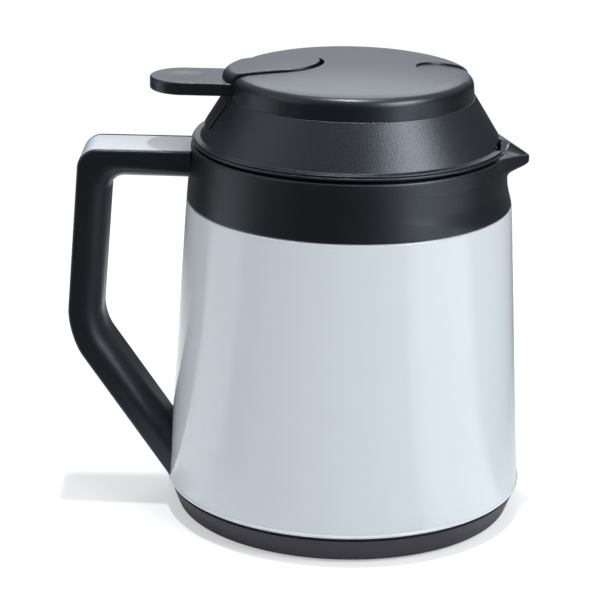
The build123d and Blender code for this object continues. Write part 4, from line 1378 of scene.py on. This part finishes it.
# ---------------------------------------------------------------- stage
LAMPS = (    # name, width and depth, place, what it points at, all in metres
    ("overhead", (0.07, 0.07), (-0.02, -0.03, 1.5), (0, 0, 0.1)),
    ("side", (0.54, 0.36), (0.7, -0.5, 0.78), (0, 0, 0.12)),
    ("left", (1.2, 0.9), (-1.1, -0.35, 0.6), (0, 0, 0.1)),
    ("back", (0.7, 0.5), (0.0, 0.85, 0.85), (0, 0, 0.18)),
)
LAMP_COLOUR = (0.95, 0.98, 1.0)
EVEN_LIGHT = (0.95, 0.98, 1.02, 1)
LOW_ROOM, HIGH_ROOM = (0.05, 0.053, 0.058, 1), (0.72, 0.78, 0.88, 1)
WINDOW_LIGHT = (4.0, 4.25, 4.6, 1)
ROOM_BEHIND = (0.68, 0.72, 0.78, 1)
PAPER_HALF = 6
FOCAL_LENGTH, SENSOR = 148.55, 36    # millimetres
CAMERA_PLACE, CAMERA_TARGET = (0, -0.967, 0.4027), (-0.01915, 0, 0.0863)
CAMERA_ROLL = math.radians(1.0)


def aim(thing, place, target, roll=0.0):
    """Puts a lamp or camera at a place and turns it to a target."""
    way = (Vector(target) - Vector(place)).normalized()
    right = way.cross(Vector((0, 0, 1))).normalized()
    up = right.cross(way)
    rolled_right = right * math.cos(roll) + up * math.sin(roll)
    rolled_up = up * math.cos(roll) - right * math.sin(roll)
    turned = Matrix((rolled_right, rolled_up, -way)).transposed().to_4x4()
    thing.matrix_world = Matrix.Translation(place) @ turned


def add_lamp(name, power, sides, place, target):
    """A soft box."""
    lamp = bpy.data.lights.new(name, "AREA")
    lamp.shape, lamp.energy, lamp.color = "RECTANGLE", power, LAMP_COLOUR
    lamp.size, lamp.size_y = sides
    aim(add_object(name, lamp), place, target)


def pale_paper(stage):
    """White paper that keeps the shadows; in reflections it is bright only on either side."""
    material, paint = new_finish("pale paper")
    seen = paint.add("LightPath", output="Is Camera Ray")
    mirrored = paint.add("LightPath", output="Is Glossy Ray")
    x, y, _ = paint.split(paint.add("TexCoord", output="Object"))
    reach = (x * x + y * y) ** 0.5
    near = 1 - paint.ramp(reach + 0.3 * x - 0.5 * y, 0.08, 0.2)
    near = near * (1 - 0.45 * paint.ramp(x, 0.02, 0.09))
    left = paint.ramp(-1 * x / reach, 0.93, 0.99)
    right = paint.ramp((0.9 * x - 0.44 * y) / reach, 0.88, 0.96)
    behind = 0.1 * paint.ramp(y, 0.3, 0.6)
    bright = behind.larger(near.larger(left.larger(right)))
    shown = 1 - mirrored * (1 - bright) * stage.dark_front
    cloud = paint.noise(0.3, detail=2)
    pale = paint.mix(cloud, rgba(stage.floor, 0.99), rgba(stage.floor))
    matte = paint.add("BsdfDiffuse", {}, {"Color": paint.mix(shown, (0, 0, 0, 1), pale)})
    glow = paint.add("Emission", {}, {"Color": WHITE, "Strength": 1.0})
    share = seen * (0.42 + 0.58 * paint.ramp(reach, 0.2, 0.6))
    both = paint.add("MixShader", {}, (share, matte, glow))
    paint.add("OutputMaterial", {}, {"Surface": both})
    return material


def surroundings(stage):
    """White room for the camera; in reflections it is dark low down, with a window on the right."""
    world = bpy.data.worlds.new("surroundings")
    world.use_nodes = True
    paint = Paint(world.node_tree)
    seen = paint.add("LightPath", output="Is Camera Ray")
    mirrored = paint.add("LightPath", output="Is Glossy Ray")
    through = paint.add("LightPath", output="Is Transmission Ray")
    x, y, z = paint.split(paint.add("TexCoord", output="Generated"))
    room = paint.mix(paint.ramp(z + 0.3 * y, 0.25, 1.0), LOW_ROOM, HIGH_ROOM)
    window = paint.ramp(0.745 * x - 0.64 * y + 0.18 * z, 0.94, 0.98)
    room = paint.mix(window, room, WINDOW_LIGHT)
    behind = paint.ramp(y - abs(x), 0.6, 0.8)
    room = paint.mix(behind, room, ROOM_BEHIND)
    even = paint.add("Background", {}, {"Color": EVEN_LIGHT, "Strength": stage.fill})
    bright = paint.add("Background", {}, {"Color": room, "Strength": 1.0})
    white = paint.add("Background", {}, {"Color": WHITE, "Strength": 1.0})
    lit = paint.add("MixShader", {}, (mirrored.larger(through), even, bright))
    both = paint.add("MixShader", {}, (seen, lit, white))
    paint.add("OutputWorld", {}, {"Surface": both})
    return world


def make_stage(stage):
    """Pale floor, soft lamps, white surroundings and the camera."""
    scene = bpy.context.scene
    bm = bmesh.new()
    bmesh.ops.create_grid(bm, x_segments=1, y_segments=1, size=PAPER_HALF)
    floor = add_object("paper", mesh_of(bm, "paper"))
    floor.data.materials.append(pale_paper(stage))
    scene.world = surroundings(stage)
    for name, sides, place, target in LAMPS:
        add_lamp(name + " lamp", getattr(stage, name), sides, place, target)
    lens = bpy.data.cameras.new("camera")
    lens.sensor_width, lens.lens, lens.clip_start = SENSOR, FOCAL_LENGTH, 0.05
    scene.camera = add_object("camera", lens)
    aim(scene.camera, CAMERA_PLACE, CAMERA_TARGET, CAMERA_ROLL)
    scene.view_settings.view_transform = "Standard"


# ---------------------------------------------------------------- operators
class CarafeMaker:
    """What the operators share."""

    bl_options = {"REGISTER", "UNDO"}

    def execute(self, context):
        self.make(context.scene)
        return {"FINISHED"}


class CARAFE_OT_finishes(CarafeMaker, bpy.types.Operator):
    """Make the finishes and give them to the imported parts"""

    bl_idname = "carafe.finishes"
    bl_label = "Finishes"

    def make(self, scene):
        make_finishes(scene.carafe_finishes)
        slots = {part["node"]: part["material_slot"] for part in frame["record"]["subparts"]}
        for name, thing in frame["nodes"].items():
            thing.data.materials.clear()
            thing.data.materials.append(FINISHES[slots[name]])


class CARAFE_OT_vessel(CarafeMaker, bpy.types.Operator):
    """Make the gloss-coated shell"""

    bl_idname = "carafe.vessel"
    bl_label = "Shell"

    def make(self, scene):
        make_shell(Millimetres(scene.carafe_vessel))


class CARAFE_OT_collar(CarafeMaker, bpy.types.Operator):
    """Make the collar with its spout"""

    bl_idname = "carafe.collar"
    bl_label = "Collar and spout"

    def make(self, scene):
        make_collar(Millimetres(scene.carafe_collar), Millimetres(scene.carafe_vessel))


class CARAFE_OT_handle(CarafeMaker, bpy.types.Operator):
    """Make the handle and its white strip"""

    bl_idname = "carafe.handle"
    bl_label = "Handle"

    def make(self, scene):
        size = Millimetres(scene.carafe_handle)
        form = HandleForm(size, Millimetres(scene.carafe_vessel))
        make_handle(size, form)
        make_inlay(size, form)


class CARAFE_OT_lid(CarafeMaker, bpy.types.Operator):
    """Make the plug, the cone and the cover of the lid"""

    bl_idname = "carafe.lid"
    bl_label = "Lid"

    def make(self, scene):
        lid, lever = Millimetres(scene.carafe_lid), Millimetres(scene.carafe_lever)
        make_plug(lid)
        make_cone(lid, lever)
        make_cover(lid, lever)


class CARAFE_OT_lever(CarafeMaker, bpy.types.Operator):
    """Make the thumb lever"""

    bl_idname = "carafe.lever"
    bl_label = "Thumb lever"

    def make(self, scene):
        make_lever(Millimetres(scene.carafe_lever), Millimetres(scene.carafe_lid))


class CARAFE_OT_spring(CarafeMaker, bpy.types.Operator):
    """Make the valve's spring"""

    bl_idname = "carafe.spring"
    bl_label = "Valve spring"

    def make(self, scene):
        make_spring(Millimetres(scene.carafe_lid))


class CARAFE_OT_stage(CarafeMaker, bpy.types.Operator):
    """Set up the floor, the lamps and the camera"""

    bl_idname = "carafe.stage"
    bl_label = "Stage"

    def make(self, scene):
        make_stage(scene.carafe_stage)


OPERATORS = (
    CARAFE_OT_finishes,
    CARAFE_OT_vessel,
    CARAFE_OT_collar,
    CARAFE_OT_handle,
    CARAFE_OT_lid,
    CARAFE_OT_lever,
    CARAFE_OT_spring,
    CARAFE_OT_stage,
)
GROUPS = {
    "carafe_vessel": CarafeVesselSizes,
    "carafe_collar": CarafeCollarSizes,
    "carafe_handle": CarafeHandleSizes,
    "carafe_lid": CarafeLidSizes,
    "carafe_lever": CarafeLeverSizes,
    "carafe_finishes": CarafeFinishes,
    "carafe_stage": CarafeStage,
}


class CARAFE_PT_panel(bpy.types.Panel):
    """Sizes, colours and makers of the carafe"""

    bl_idname = "CARAFE_PT_panel"
    bl_label = "Carafe"
    bl_space_type = "VIEW_3D"
    bl_region_type = "UI"
    bl_category = "Carafe"

    def draw(self, context):
        for operator in OPERATORS:
            self.layout.operator(operator.bl_idname)
        for name, group in GROUPS.items():
            box = self.layout.box()
            box.label(text=name.replace("carafe_", "").title())
            for prop in group.__annotations__:
                box.prop(getattr(context.scene, name), prop)


CLASSES = (*GROUPS.values(), *OPERATORS, CARAFE_PT_panel)


def register():
    for kind in CLASSES:
        bpy.utils.register_class(kind)
    for name, group in GROUPS.items():
        setattr(bpy.types.Scene, name, PointerProperty(type=group))


def unregister():
    for name in GROUPS:
        delattr(bpy.types.Scene, name)
    for kind in reversed(CLASSES):
        bpy.utils.unregister_class(kind)


def main():
    register()
    for operator in OPERATORS:
        area, name = operator.bl_idname.split(".")
        getattr(getattr(bpy.ops, area), name)()


if __name__ == "__main__":
    main()
